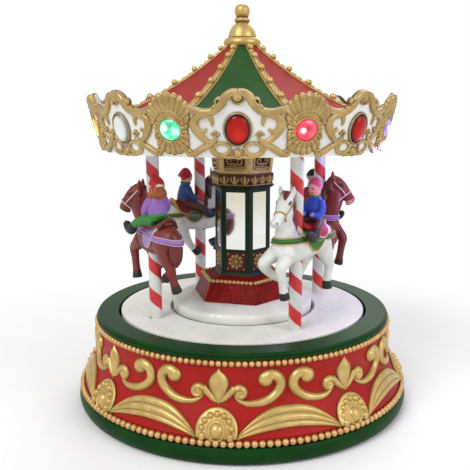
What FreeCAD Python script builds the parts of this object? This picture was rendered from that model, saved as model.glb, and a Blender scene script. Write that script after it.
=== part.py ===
import FreeCAD, Part
import math
import os
from FreeCAD import Vector

# Millimetres and degrees. Bearings are counted from the front (-Y) towards the right (+X).

# Base: plinth, flared drum, rim
plinth_radius = 100.0
plinth_height = 8.0
plinth_width = 7.5
plinth_bulge = 1.2
floor_gap = 1.5
drum_height = 41.5
drum_wall_radius = 87.2
drum_wall = 4.0
flare_drop = 16.0
flare_bend = 14.0
flare_angle = 28.0
drum_foot_radius = 96.6
rim_height = 3.3
rim_overhang = 1.1
rim_width = 12.8
rim_step = 1.4
rim_set_back = 0.55
rim_round = 1.1
lower_bead_radius = 1.9
lower_beads_per_unit = 20
upper_bead_radius = 1.6
upper_beads_per_unit = 21
bead_sink = 0.7
bead_wire = 0.45
bead_gap = 0.2

# Relief on the drum, repeated in units
relief_units = 8
relief_bearing = -7.7
relief_height = 2.0
rosette_radius = 10.0
rosette_ball = 3.4
rosette_pearl = 1.6
rosette_pearls = 9
rosette_pearl_ring = 6.5
rosette_lift = 7.6
relief_gap = 0.3
fleur_drop = 22.4
volute_radius = 3.1
volute_place = (9.6, 4.6)
scroll_drop = 22.3
leaf_half_angle = 14.5
leaf_top = 17.6
leaf_low = 8.6

# Relief outlines, across from their middle and up from their foot; a pair is an arc's middle and end.
petal_outline = ((0, 0), ((4.6, 8.95), (0, 16.9)), ((-4.6, 8.95), (0, 0)))
arm_outline = ((0, 0), ((5.4, 1.4), (9.6, 7.6)), ((4.6, 4.0), (0, 0)))
scroll_outline = (
    (8.0, 3.4),
    ((17.0, 0), (26.5, 1.2)),
    ((32.8, 8.2), (28.0, 15.8)),
    ((24.6, 16.4), (20.6, 14.2)),
    ((24.2, 10.4), (26.4, 12.8)),
    ((29.6, 8.2), (24.6, 3.4)),
    ((17.0, 1.8), (8.6, 4.0)),
)

# Underside
cover_recess = 1.5
cover_thickness = 2.5
cover_gap = 0.5
foot_radius = 6.5
foot_ring = 84.0
foot_bearing = -32.0
foot_count = 4
screw_radius = 1.5
screw_head = 3.0
screw_length = 14.0
screw_ring = 85.0
boss_radius = 4.0
boss_height = 24.0

# Movement
chassis_lift = 21.5
chassis_radius = 78.0
chassis_thickness = 2.5
chassis_leg_radius = 4.0
chassis_leg_ring = 73.0
chassis_leg_bearing = 30.0
chassis_leg_count = 4
gear_module = 1.0
gear_dedendum = 1.25
flank_steps = 3
pressure_angle = 25.0
tooth_backlash = 0.24
drive_teeth = 60
wheel_teeth = 36
pinion_teeth = 12
gear_thickness = 5.0
wheel_thickness = 3.5
motor_radius = 12.0
motor_shaft = 1.2
motor_boss = 3.6
motor_turn = 20.0
axle_radius = 2.0
idler_foot = 4.0
running_fit = 0.05
running_gap = 0.3
loose_gap = 1.0
post_radius = 8.0
post_flange = 14.0
post_flange_height = 3.0
post_collar = 10.0
post_collar_height = 3.0
tube_radius = 4.5
tube_bore = 3.0
bush_wall = 2.0
hub_wall = 3.5
web_thickness = 3.0
web_drop = 12.3

# Electrics
speaker_radius = 25.0
speaker_depth = 16.0
speaker_place = 50.0
speaker_slots = 5
speaker_slot = 3.0
speaker_slot_pitch = 7.8
speaker_slot_inset = 6.0
speaker_rim = 3.0
speaker_magnet = 13.75
speaker_magnet_height = 6.0
cell_radius = 7.0
cell_length = 49.0
cell_count = 3
cell_gap = 0.5
box_wall = 1.5
box_place = -42.0
door_gap = 0.4
door_thickness = 2.0
hinge_pin_radius = 0.7
hinge_pin_reach = 1.6
cell_shoulder = 1.5
cell_tip_radius = 2.7
board_length = 50.0
board_width = 28.0
board_thickness = 1.6
board_lift = 5.0
board_place = 52.0
board_leg_radius = 2.0
board_leg_inset = 3.0
chip_size = (12.0, 9.0, 2.0)
chip_place = (-6.0, 0.0)
plug_size = (8.0, 5.0, 5.0)
plug_place = (-19.0, -6.0)
can_radius = 3.5
can_height = 8.0
can_place = (14.0, 5.0)
switch_bearing = 40.0
switch_ring = 66.0
switch_length = 14.0
switch_width = 7.0
switch_height = 6.0
switch_throw = 4.0
knob_width = 3.0

# Turntable and centre
turntable_radius = 73.8
turntable_thickness = 4.0
well_radius = 43.3
well_wall = 3.0
disc_gap = 0.8
disc_rise = 5.3
disc_edge = 2.2
disc_dome = 2.0

# Hexagonal column
column_turn = 14.5
column_sides = 6
column_plinth_foot = 31.0
column_plinth_head = 25.4
column_plinth_height = 11.8
column_plinth_cap = 2.2
column_bead = 1.15
column_beads_per_side = 10
column_radius = 17.2
column_height = 53.2
column_moulding = 1.4
column_moulding_height = 1.8
panel_width = 11.6
panel_depth = 0.9
panel_skin = 0.5
lower_panel_height = 11.2
lower_panel_lift = 2.6
mirror_height = 33.9
mirror_lift = 15.6
column_rosette = 4.2
column_rosette_heart = 1.4
column_petals = 8
column_petal = 1.05
column_petal_ring = 3.1
frieze_radius = 18.3
frieze_flare = 1.0
frieze_height = 7.0
frieze_leaves = 3
frieze_leaf_pitch = 5.2
frieze_leaf_half = 2.2
frieze_leaf_foot = 0.6
frieze_leaf_head = 0.3
frieze_leaf_proud = 1.0
cornice_radius = 18.0
cornice_flare = 1.9
cornice_panel_half = 6.1
cornice_panel_foot = 1.8
cornice_panel_head = 2.9
cornice_panel_depth = 1.0

# Canopy: round leaning valance with eight fields, shells, lamps, eight-sided roof
canopy_turn = -1.5
canopy_sides = 8
ceiling_lift = 96.2
ceiling_thickness = 2.5
valance_drop = 0.7
valance_radius = 80.3
valance_tilt = 14.5
valance_thickness = 2.4
valance_valley = 21.9
scroll_height = 1.3
crumb_volume = 1.0
bottom_button = 2.4
bottom_button_lift = 2.6
crest_button = 2.6
crest_button_lift = 6.8
heart_button = 2.2
heart_button_place = (-11.2, 2.2)

# Crest of a valance side, up from its valley, right half and then left half.
crest_outline = (
    (11.0, 0),
    ((8.2, 3.4), (5.6, 5.4)),
    ((0, 9.6), (-5.6, 5.4)),
    ((-8.2, 3.4), (-11.0, 0)),
)

# Bands of the valance scrolls: across, up, radius, width, first and last angle.
# The first set is measured up from the valley, the second from the jewel, the third from the lower edge.
crest_bands = (
    (-11.0, 2.2, 2.6, 2.2, 180, 330),
    (-17.6, 2.2, 5.2, 2.2, 190, 320),
    (0, 1.8, 6.9, 2.4, 90, 185),
)
heart_bands = ((-13.5, 0, 5.6, 2.6, 40, 320), (-18.4, 4.6, 4.4, 2.2, 90, 270))
foot_bands = (
    (-7.2, 4.2, 3.6, 1.8, 0, 200),
    (-7.2, 4.2, 3.6, 1.8, 200, 360),
    (-20.0, 5.2, 5.2, 2.4, 180, 330),
    (-14.2, 2.6, 4.4, 2.2, 20, 150),
)
jewel_width = 10.8
jewel_height = 14.4
jewel_dome = 2.6
bezel_width = 1.4
lamp_lift = 13.8
lamp_radius = 5.2
lamp_bezel = 1.3
shell_proud = 1.5
shell_depth = 6.0
shell_waist = 7.0
shell_foot = 8.2
shell_fan = 11.2
shell_flutes = 9
shell_flute_radius = 1.4
shell_flute_root = 0.8
shell_flute_spread = 78.0
shell_flute_reach = 13.2
shell_flute_fall = 3.2
shell_shoulder = 9.0
shell_head = 30.6
shell_sill = 0.6
shell_sag = 1.0
shell_foot_flutes = 5
shell_foot_spread = 50.0
shell_foot_reach = 7.0
shell_foot_root = 1.15
lens_seat = 0.36
lens_edge = 1.3
lens_dome = 3.1
led_radius = 2.5
led_length = 7.0
led_room = 0.4
roof_top_radius = 9.0
roof_rise = 45.0
roof_reach = 89.6
roof_eave_lift = 14.1
roof_sag = 4.7
roof_skin = 2.0
rib_width = 4.0
rib_proud = 1.2
rib_root = 1.4
rib_ball = 1.7
rib_balls = 6
rib_ball_first = 0.06
rib_ball_span = 0.9
rib_ball_spread = 1.15
finial_sink = 0.9
finial_foot = 8.6
finial_flange = 10.4
finial_flange_height = 4.0
finial_bell = 8.1
finial_bell_start = 4.7
finial_bell_middle = (7.5, 8.9)
finial_ring = 4.2
finial_ring_start = (3.9, 12.9)
finial_ring_end = (3.7, 15.5)
finial_neck = (3.2, 16.2)
finial_knob = 4.1
finial_knob_end = (3.7, 21.2)
finial_height = 23.8

# Figures: a pole, a horse and a rider at each of four places
figure_count = 4
figure_bearing = 30.0
figure_ring = 57.5
pole_radius = 3.6
pole_clearance = 0.6
pole_socket = 2.5
blanket_skin = 0.8
section_points = 8
blanket_back = -19.0
blanket_front = -4.0
blanket_low = 41.0

# Stations of the figures: forward, left, height over the deck, half tall, half wide.
# A figure's pole stands at its zero; left limbs are given, right ones are their mirror image.
horse_barrel_rows = (
    (-27.5, 0, 50.2, 2.6, 2.4),
    (-24.5, 0, 49.6, 6.0, 5.8),
    (-17.0, 0, 48.2, 8.2, 7.6),
    (-5.0, 0, 46.0, 7.9, 7.3),
    (7.0, 0, 46.4, 8.5, 7.1),
    (14.0, 0, 48.0, 6.6, 5.4),
    (17.6, 0, 48.8, 2.6, 2.4),
)
horse_neck = (
    (5.4, 0, 47.5, 8.0, 5.2),
    (9.6, 0, 54.0, 7.4, 4.6),
    (12.2, 0, 61.0, 5.8, 3.9),
    (12.6, 0, 67.6, 4.9, 3.5),
    (11.8, 0, 73.4, 3.2, 3.0),
)
horse_head = (
    (9.8, 0, 73.6, 2.4, 2.8),
    (12.6, 0, 71.8, 4.3, 3.9),
    (14.8, 0, 68.4, 4.4, 3.7),
    (16.9, 0, 64.4, 3.5, 3.0),
    (18.8, 0, 60.8, 2.9, 2.7),
    (20.2, 0, 57.8, 2.3, 2.2),
)
horse_ear = ((11.4, 2.3, 73.6, 1.5, 1.5), (11.3, 2.7, 76.4, 1.2, 1.3), (11.5, 2.9, 78.3, 0.3, 0.3))
horse_mane = (
    (10.4, 0, 76.0, 1.8, 2.0),
    (6.8, 0, 69.4, 2.6, 2.8),
    (4.6, 0, 61.4, 2.8, 3.0),
    (3.0, 0, 53.6, 1.8, 1.8),
)
horse_tail = (
    (-25.0, 0, 53.0, 2.4, 2.2),
    (-29.2, 0, 51.4, 2.8, 2.6),
    (-31.3, 0, 45.6, 3.0, 2.8),
    (-31.0, 0, 40.0, 2.6, 2.4),
    (-29.6, 0, 35.8, 0.8, 0.8),
)

# Joints of a leg from the hip to the top of the hoof: forward, height.
reaching_foreleg = ((11.0, 44.0), (18.6, 38.6), (14.4, 28.4), (12.8, 23.4))
folded_foreleg = ((11.0, 44.0), (21.4, 39.6), (12.4, 32.4), (7.6, 29.6))
stretched_hind_leg = ((-19.0, 45.0), (-23.6, 33.0), (-22.2, 26.0), (-22.6, 22.6))
gathered_hind_leg = ((-18.0, 44.0), (-12.0, 33.0), (-8.4, 27.0), (-5.6, 24.4))
foreleg_side = 4.8
hind_leg_side = 5.0
hip_inset = 1.0
foreleg_hip = (5.4, 4.0)
hind_leg_hip = (6.4, 4.6)
knee_size = (3.0, 2.8)
fetlock_size = (2.2, 2.1)
pastern_size = (2.5, 2.4)
hoof_size = (3.0, 2.9)
hoof_height = 3.4

rider_torso = (
    (-13.4, 0, 52.0, 4.4, 5.4),
    (-13.2, 0, 56.4, 4.6, 5.6),
    (-12.6, 0, 61.0, 4.9, 5.7),
    (-12.0, 0, 65.4, 4.2, 5.1),
    (-11.7, 0, 68.6, 3.0, 3.8),
    (-11.5, 0, 70.6, 2.2, 2.4),
)
rider_hat = (
    (-11.8, 0, 74.4, 4.9, 5.0),
    (-11.9, 0, 76.2, 5.0, 5.1),
    (-12.3, 0, 78.4, 3.8, 3.9),
    (-13.1, 0, 80.2, 1.0, 1.0),
)
rider_arm = (
    (-11.9, 4.0, 67.2, 2.3, 2.2),
    (-11.0, 6.6, 63.6, 2.3, 2.2),
    (-8.6, 6.4, 60.8, 2.1, 2.0),
    (-5.6, 4.4, 60.6, 1.8, 1.8),
    (-4.3, 3.0, 61.6, 1.4, 1.4),
)
rider_thigh = (
    (-12.0, 3.2, 57.4, 3.6, 3.4),
    (-7.4, 7.2, 57.0, 3.4, 3.2),
    (-2.6, 9.4, 54.8, 2.9, 2.7),
    (-0.4, 10.1, 51.0, 2.5, 2.4),
)
rider_boot = (
    (-1.6, 10.2, 50.8, 2.3, 2.2),
    (3.0, 10.7, 51.3, 2.6, 2.4),
    (6.4, 11.0, 53.4, 2.2, 2.1),
    (7.8, 11.1, 54.8, 0.9, 0.9),
)
rider_head = (-10.9, 0, 73.2)
rider_head_radius = 4.6
rider_brim_place = (-11.7, 0, 74.6)
rider_brim_radius = 4.9
rider_brim_thickness = 1.1

# Each figure's place in order, turn about its pole, and how its rider sits off the middle.
figure_names = ("front_right", "back_right", "back_left", "front_left")
figure_yaws = (18.0, 0.0, 0.0, 0.0)
head_turns = (0.0, 52.0, 0.0, 52.0)
neck_root = (6.0, 50.0)
neck_rise = 18.0
rider_shifts = ((-3.5, 0.6, 0), (0, 0, 0), (0, 0, 0), (0.4, 0, 2.6))

# Levels worked out from the above
plinth_bottom = floor_gap
plinth_top = plinth_bottom + plinth_height
cover_bottom = plinth_bottom + cover_recess
cover_top = cover_bottom + cover_thickness
cover_radius = plinth_radius - plinth_width - cover_gap
rim_bottom = plinth_top + drum_height
deck = rim_bottom + rim_height
flare_top = rim_bottom - flare_drop
bead_top = plinth_top + bead_gap + 2 * lower_bead_radius
chassis_bottom = cover_top + chassis_lift
chassis_top = chassis_bottom + chassis_thickness
web_bottom = deck - web_drop
web_top = web_bottom + web_thickness
hub_radius = post_radius + running_fit + bush_wall
collar_top = chassis_top + post_flange_height + post_collar_height
disc_bottom = web_top + 2 * loose_gap
disc_top = deck + disc_rise
column_foot = disc_top + disc_dome
column_start = column_foot + column_plinth_height + column_plinth_cap
column_top = column_start + column_height
frieze_top = column_top + frieze_height
ceiling = deck + ceiling_lift
valance_bottom = ceiling - valance_drop
roof_eave = valance_bottom + roof_eave_lift
roof_top = roof_eave + roof_rise
drive_pitch = gear_module * drive_teeth / 2
wheel_pitch = gear_module * wheel_teeth / 2
pinion_pitch = gear_module * pinion_teeth / 2
up = Vector(0, 0, 1)


def place_at(radius, bearing, height=0.0):
    turn = math.radians(bearing)
    return Vector(radius * math.sin(turn), -radius * math.cos(turn), height)


def turned(shape, bearing):
    copy = shape.copy()
    copy.rotate(Vector(), up, bearing)
    return copy


def ring_of(shape, count, first=0.0):
    return [turned(shape, first + 360.0 * step / count) for step in range(count)]


def moved(shape, offset):
    copy = shape.copy()
    copy.translate(offset)
    return copy


def fused(shapes):
    return shapes[0].multiFuse(shapes[1:])


# A closed face in the XZ plane. A step is an end point, or a (through, end) pair for an arc.
def outline(start, *steps):
    edges = []
    here = start
    for step in steps + (start,):
        curved = isinstance(step[0], tuple)
        end = step[1] if curved else step
        if end == here:
            continue
        first = Vector(here[0], 0, here[1])
        last = Vector(end[0], 0, end[1])
        if curved:
            middle = Vector(step[0][0], 0, step[0][1])
            edges.append(Part.Arc(first, middle, last).toShape())
        else:
            edges.append(Part.LineSegment(first, last).toShape())
        here = end
    return Part.Face(Part.Wire(edges))


# The same outline, higher up.
def raised(steps, height):
    def lift(point):
        return (point[0], point[1] + height)

    return [tuple(map(lift, step)) if isinstance(step[0], tuple) else lift(step) for step in steps]


def round_face(radius, across, height):
    return Part.Face(Part.Wire(Part.makeCircle(radius, Vector(across, 0, height), Vector(0, 1, 0))))


def lathe(start, *steps):
    solid = outline(start, *steps).revolve(Vector(), up, 360)
    if solid.Volume < 0:
        solid.reverse()
    return solid


# Arc step for a dome that closes on the axis: from (radius, foot) up to (0, foot + rise).
def dome_step(radius, foot, rise):
    ball_radius = (radius ** 2 + rise ** 2) / (2 * rise)
    centre = foot + rise - ball_radius
    half = math.asin(min(radius / ball_radius, 1.0)) / 2
    return ((ball_radius * math.sin(half), centre + ball_radius * math.cos(half)), (0, foot + rise))


def tube(outer, inner, bottom, top):
    return lathe((inner, bottom), (outer, bottom), (outer, top), (inner, top))


def rod(radius, bottom, top, place=Vector()):
    return Part.makeCylinder(radius, top - bottom, Vector(place.x, place.y, bottom))


def block(x, y, bottom, length, width, height):
    return Part.makeBox(length, width, height, Vector(x - length / 2, y - width / 2, bottom))


def polygon(sides, corner, height, first=0.0):
    corners = [place_at(corner, first + 360.0 * step / sides, height) for step in range(sides)]
    return Part.makePolygon(corners + corners[:1])


# Straight-sided tower through (corner radius, height) stations.
def tower(sides, stations, first=0.0):
    return Part.makeLoft([polygon(sides, corner, height, first) for corner, height in stations], True, True)


def half_angle(sides):
    return 180.0 / sides


def apothem(sides, corner):
    return corner * math.cos(math.radians(half_angle(sides)))


# Drum surface: plain wall, bend, straight flare, plain foot
bend_height = flare_top - flare_bend * math.sin(math.radians(flare_angle))
bend_radius = drum_wall_radius + flare_bend * (1 - math.cos(math.radians(flare_angle)))
flare_slope = math.tan(math.radians(flare_angle))
foot_height = bend_height - (drum_foot_radius - bend_radius) / flare_slope


def drum_radius(height):
    if height >= flare_top:
        return drum_wall_radius
    if height >= bend_height:
        drop = flare_top - height
        return drum_wall_radius + flare_bend - math.sqrt(flare_bend ** 2 - drop ** 2)
    return min(bend_radius + flare_slope * (bend_height - height), drum_foot_radius)


def drum_core(grow):
    half = math.radians(flare_angle / 2)
    wall = drum_wall_radius + grow
    foot = drum_foot_radius + grow
    through = (wall + flare_bend * (1 - math.cos(half)), flare_top - flare_bend * math.sin(half))
    return lathe(
        (0, plinth_top),
        (foot, plinth_top),
        (foot, foot_height),
        (bend_radius + grow, bend_height),
        (through, (wall, flare_top)),
        (wall, rim_bottom),
        (0, rim_bottom),
    )


def cover_screw_places():
    first = foot_bearing + half_angle(foot_count)
    return [place_at(screw_ring, first + 360.0 * step / foot_count) for step in range(foot_count)]


def base_drum():
    shell = drum_core(0).cut(drum_core(-drum_wall))
    bosses = [rod(boss_radius, cover_top, cover_top + boss_height, place) for place in cover_screw_places()]
    screw_top = cover_top + screw_length
    holes = [rod(screw_radius, cover_top, screw_top, place) for place in cover_screw_places()]
    return fused([shell] + bosses).cut(Part.Compound(holes))


def base_plinth():
    inner = plinth_radius - plinth_width
    lip = plinth_radius - plinth_bulge
    middle = (plinth_bottom + plinth_top) / 2
    return lathe(
        (inner, plinth_bottom),
        (lip, plinth_bottom),
        ((plinth_radius, middle), (lip, plinth_top)),
        (inner, plinth_top),
    )


def base_rim():
    outer = drum_wall_radius + rim_overhang
    inner = outer - rim_width
    shelf = rim_bottom + rim_step
    set_back = outer - rim_set_back
    bend = rim_round * (1 - math.sqrt(0.5))
    return lathe(
        (inner, rim_bottom),
        (outer, rim_bottom),
        (outer, shelf),
        (set_back, shelf),
        (set_back, deck - rim_round),
        ((set_back - bend, deck - bend), (set_back - rim_round, deck)),
        (inner, deck),
    )


# One unit of a bead row: flat-backed pearls bedded on the wall, strung on a thin wire.
def bead_strip(height, radius, per_unit):
    stand = radius - bead_sink
    ring = drum_radius(height) + stand
    pitch = 360.0 / relief_units / per_unit
    pearl = Part.makeSphere(radius, Vector(0, -ring, height))
    pearl = pearl.cut(block(0, stand + radius - ring, height - radius, 2 * radius, 2 * radius, 2 * radius))
    reach = 2 * ring * math.sin(math.radians(pitch / 2))
    middle = Vector(-reach / 2, -ring * math.cos(math.radians(pitch / 2)), height)
    link = turned(Part.makeCylinder(bead_wire, reach, middle, Vector(1, 0, 0)), pitch / 2)
    pearls = [turned(pearl, pitch * step) for step in range(per_unit)]
    links = [turned(link, pitch * step) for step in range(per_unit - 1)]
    return fused(pearls + links)


def bead_row(height, radius, per_unit):
    return ring_of(bead_strip(height, radius, per_unit), relief_units, relief_bearing)


# Flat outline pushed outwards through the drum, kept where the relief stands on the wall.
def on_drum(face):
    return face.extrude(Vector(0, -2 * plinth_radius, 0))


def mirrored(face):
    return face.mirror(Vector(), Vector(1, 0, 0))


def fleur():
    foot = rim_bottom - fleur_drop
    petal = outline(*raised(petal_outline, foot))
    arm = outline(*raised(arm_outline, foot))
    volute = round_face(volute_radius, volute_place[0], foot + volute_place[1])
    return [petal, arm, volute, mirrored(arm), mirrored(volute)]


def c_scroll():
    band = outline(*raised(scroll_outline, rim_bottom - scroll_drop))
    return [band, mirrored(band)]


def leaf_crescent():
    tip = bead_top + relief_gap
    reach = drum_radius(tip) * math.sin(math.radians(leaf_half_angle))
    over = (0, plinth_top + leaf_top)
    under = (0, plinth_top + leaf_low)
    return outline((-reach, tip), (over, (reach, tip)), (under, (-reach, tip)))


def rosette():
    centre = plinth_top + rosette_lift
    floor = bead_top + relief_gap
    disc = on_drum(round_face(rosette_radius, 0, centre))
    above = block(0, -plinth_radius, floor, 4 * rosette_radius, 2 * plinth_radius, 4 * rosette_radius)
    field = disc.common(drum_core(relief_height)).common(above)
    knobs = [Part.makeSphere(rosette_ball, Vector(0, -drum_radius(centre) - relief_height / 2, centre))]
    for step in range(rosette_pearls):
        turn = 2 * math.pi * step / rosette_pearls
        height = centre + rosette_pearl_ring * math.cos(turn)
        aside = rosette_pearl_ring * math.sin(turn)
        if height > floor + rosette_pearl / 2:
            out = math.sqrt(drum_radius(height) ** 2 - aside ** 2) + relief_height
            knobs.append(Part.makeSphere(rosette_pearl, Vector(aside, -out, height)))
    whole = fused([field] + [knob.common(above) for knob in knobs])
    return whole.cut(drum_core(0))


def drum_relief():
    layer = drum_core(relief_height).cut(drum_core(0))
    crest = fused([on_drum(face) for face in fleur()]).common(layer)
    scrolls = [on_drum(face).common(layer) for face in c_scroll()]
    leaf = on_drum(leaf_crescent()).common(layer)
    unit = [solid for shape in [crest, rosette()] + scrolls for solid in shape.Solids]
    unit += turned(leaf, half_angle(relief_units)).Solids
    return [copy for solid in unit for copy in ring_of(solid, relief_units, relief_bearing)]


def foot_places():
    return [place_at(foot_ring, foot_bearing + 360.0 * step / foot_count) for step in range(foot_count)]


def rubber_feet():
    return [rod(foot_radius, 0, cover_bottom, place) for place in foot_places()]


def cover_screws():
    screws = []
    for place in cover_screw_places():
        shank = rod(screw_radius, cover_bottom, cover_top + screw_length, place)
        head = Part.makeCone(screw_head, screw_radius, screw_radius, Vector(place.x, place.y, cover_bottom))
        screws.append(fused([shank, head]))
    return screws


# Battery box: cells lie along Y, side by side along X.
box_length = cell_length + 2 * (box_wall + cell_gap)
box_width = cell_count * (2 * cell_radius + cell_gap) + cell_gap + 2 * box_wall
box_height = 2 * cell_radius + 2 * cell_gap + box_wall
door_length = box_length - 2 * box_wall
door_width = box_width - 2 * box_wall
hinge_radius = door_thickness / 2
hinge_x = box_place + door_width / 2 - door_gap - hinge_radius
hinge_height = cover_bottom + hinge_radius


def battery_box():
    outer = block(box_place, 0, cover_top, box_width, box_length, box_height)
    inner = block(box_place, 0, cover_top, door_width, door_length, box_height - box_wall)
    return outer.cut(inner)


def battery_cells():
    cells = []
    pitch = 2 * cell_radius + cell_gap
    first = box_place - (cell_count - 1) * pitch / 2
    height = cover_top + box_height - box_wall - cell_radius
    along = Vector(0, 1, 0)
    for step in range(cell_count):
        place = Vector(first + step * pitch, -cell_length / 2, height)
        body = Part.makeCylinder(cell_radius, cell_length - cell_shoulder, place, along)
        tip = Part.makeCylinder(cell_tip_radius, cell_length, place, along)
        cells.append(fused([body, tip]))
    return cells


# Rod along the hinge line of the battery door.
def hinge_rod(radius, length):
    return Part.makeCylinder(radius, length, Vector(hinge_x, -length / 2, hinge_height), Vector(0, 1, 0))


# Flap with a round hinge edge whose pins turn in the cover.
def battery_door():
    length = door_length - 2 * door_gap
    far_edge = box_place - door_width / 2 + door_gap
    flap = block((far_edge + hinge_x) / 2, 0, cover_bottom, hinge_x - far_edge, length, door_thickness)
    edge = hinge_rod(hinge_radius, length)
    pins = hinge_rod(hinge_pin_radius, door_length + 2 * hinge_pin_reach)
    return fused([flap, edge, pins])


def switch_place():
    return place_at(switch_ring, switch_bearing)


# Room in which the switch knob slides, at the switch's place.
def switch_slot(bottom, height):
    place = switch_place()
    length = knob_width + switch_throw + 2 * running_gap
    return block(place.x, place.y, bottom, length, knob_width + 2 * running_gap, height)


def switch_body():
    place = switch_place()
    case = block(place.x, place.y, cover_top, switch_length, switch_width, switch_height)
    return case.cut(switch_slot(cover_top, switch_height / 2))


def switch_knob():
    place = switch_place()
    bottom = cover_bottom - loose_gap
    top = cover_top + switch_height / 2 - running_gap
    return block(place.x - switch_throw / 2, place.y, bottom, knob_width, knob_width, top - bottom)


def bottom_cover():
    plate = rod(cover_radius, cover_bottom, cover_top)
    cuts = [block(box_place, 0, cover_bottom, door_width, door_length, cover_thickness)]
    socket_length = door_length + 2 * (hinge_pin_reach + running_gap)
    cuts.append(hinge_rod(hinge_pin_radius + running_fit, socket_length))
    cuts.append(switch_slot(cover_bottom, cover_thickness))
    for step in range(speaker_slots):
        aside = (step - (speaker_slots - 1) / 2) * speaker_slot_pitch
        length = 2 * math.sqrt((speaker_radius - speaker_slot_inset) ** 2 - aside ** 2)
        cuts.append(block(speaker_place, aside, cover_bottom, length, speaker_slot, cover_thickness))
    cuts += cover_screws()
    return plate.cut(Part.Compound(cuts))


def speaker():
    rim = speaker_radius
    top = cover_top + speaker_depth
    lip = cover_top + speaker_rim
    shell = lathe(
        (0, lip),
        (rim - speaker_rim, cover_top),
        (rim, cover_top),
        (rim, lip),
        (speaker_magnet, top - speaker_magnet_height),
        (speaker_magnet, top),
        (0, top),
    )
    return moved(shell, Vector(speaker_place, 0, 0))


def sound_board():
    base = cover_top + board_lift
    top = base + board_thickness
    plate = block(0, board_place, base, board_length, board_width, board_thickness)
    chip = block(chip_place[0], board_place + chip_place[1], top, *chip_size)
    plug = block(plug_place[0], board_place + plug_place[1], top, *plug_size)
    can = rod(can_radius, top, top + can_height, Vector(can_place[0], board_place + can_place[1], 0))
    legs = []
    for x in (-1, 1):
        for y in (-1, 1):
            across = x * (board_length / 2 - board_leg_inset)
            back = board_place + y * (board_width / 2 - board_leg_inset)
            legs.append(rod(board_leg_radius, cover_top, base, Vector(across, back, 0)))
    return fused([plate, chip, can, plug] + legs)


# Involute spur wheel with a tooth centred on the X axis.
def spur_wheel(teeth, bottom, thickness):
    pitch = gear_module * teeth / 2
    base = pitch * math.cos(math.radians(pressure_angle))
    root = pitch - gear_dedendum * gear_module
    tip = pitch + gear_module
    start = max(base, root)
    flat = math.tan(math.radians(pressure_angle)) - math.radians(pressure_angle)
    half_tooth = (math.pi * gear_module / 2 - tooth_backlash / 2) / (2 * pitch)
    flank = []
    for step in range(flank_steps + 1):
        radius = start + (tip - start) * step / flank_steps
        roll = math.sqrt(max((radius / base) ** 2 - 1, 0))
        flank.append((radius, half_tooth + flat - (roll - math.atan(roll))))
    if root < start:
        flank.insert(0, (root, flank[0][1]))
    corners = []
    for tooth in range(teeth):
        centre = 2 * math.pi * tooth / teeth
        side = [(radius, centre - lean) for radius, lean in flank]
        side += [(radius, centre + lean) for radius, lean in reversed(flank)]
        for radius, turn in side:
            corners.append(Vector(radius * math.cos(turn), radius * math.sin(turn), bottom))
    face = Part.Face(Part.makePolygon(corners + corners[:1]))
    return face.extrude(Vector(0, 0, thickness))


idler_place = place_at(drive_pitch + pinion_pitch, 0)
motor_place = idler_place + place_at(wheel_pitch + pinion_pitch, -motor_turn)
front_tooth = -90.0


def drive_gear():
    wheel = spur_wheel(drive_teeth, web_bottom - gear_thickness, gear_thickness)
    bored = wheel.cut(rod(hub_radius + hub_wall, web_bottom - gear_thickness, web_bottom))
    return turned(bored, front_tooth)


def idler_gear():
    wheel_bottom = chassis_top + 2 * loose_gap
    wheel = turned(spur_wheel(wheel_teeth, wheel_bottom, wheel_thickness), front_tooth - motor_turn)
    pinion_bottom = wheel_bottom + wheel_thickness
    pinion_top = web_bottom - loose_gap
    gap_back = 90.0 + half_angle(pinion_teeth)
    pinion = turned(spur_wheel(pinion_teeth, pinion_bottom, pinion_top - pinion_bottom), gap_back)
    foot = rod(idler_foot, chassis_top + running_gap, wheel_bottom)
    bore = rod(axle_radius + running_fit, chassis_top, web_bottom)
    return moved(fused([wheel, pinion, foot]).cut(bore), idler_place)


def idler_axle():
    return rod(axle_radius, chassis_bottom, web_bottom - loose_gap, idler_place)


def motor_pinion():
    bottom = chassis_top + loose_gap
    gap_to_idler = 90.0 - motor_turn + half_angle(pinion_teeth)
    wheel = turned(spur_wheel(pinion_teeth, bottom, wheel_thickness + 2 * loose_gap), gap_to_idler)
    shaft = rod(motor_shaft, chassis_bottom - loose_gap, bottom)
    return moved(fused([wheel, shaft]), motor_place)


def gear_motor():
    can = rod(motor_radius, cover_top + loose_gap, chassis_bottom)
    ring = rod(motor_boss, chassis_bottom, chassis_top)
    bore = rod(motor_shaft + running_fit, chassis_bottom - 2 * loose_gap, chassis_top)
    return moved(fused([can, ring]).cut(bore), motor_place)


def chassis():
    plate = rod(chassis_radius, chassis_bottom, chassis_top)
    legs = []
    for step in range(chassis_leg_count):
        place = place_at(chassis_leg_ring, chassis_leg_bearing + 360.0 * step / chassis_leg_count)
        legs.append(rod(chassis_leg_radius, cover_top, chassis_bottom, place))
    holes = [rod(motor_boss, chassis_bottom, chassis_top, motor_place)]
    holes.append(rod(axle_radius, chassis_bottom, chassis_top, idler_place))
    holes.append(rod(tube_bore, chassis_bottom, chassis_top))
    return fused([plate] + legs).cut(Part.Compound(holes))


def centre_post():
    flange_top = chassis_top + post_flange_height
    return lathe(
        (tube_bore, chassis_top),
        (post_flange, chassis_top),
        (post_flange, flange_top),
        (post_collar, flange_top),
        (post_collar, collar_top),
        (post_radius, collar_top),
        (post_radius, disc_bottom),
        (tube_radius, disc_bottom),
        (tube_radius, ceiling + ceiling_thickness),
        (tube_bore, ceiling + ceiling_thickness),
    )


def hub_bush():
    return tube(hub_radius, post_radius + running_fit, collar_top + running_gap, web_top)


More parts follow.
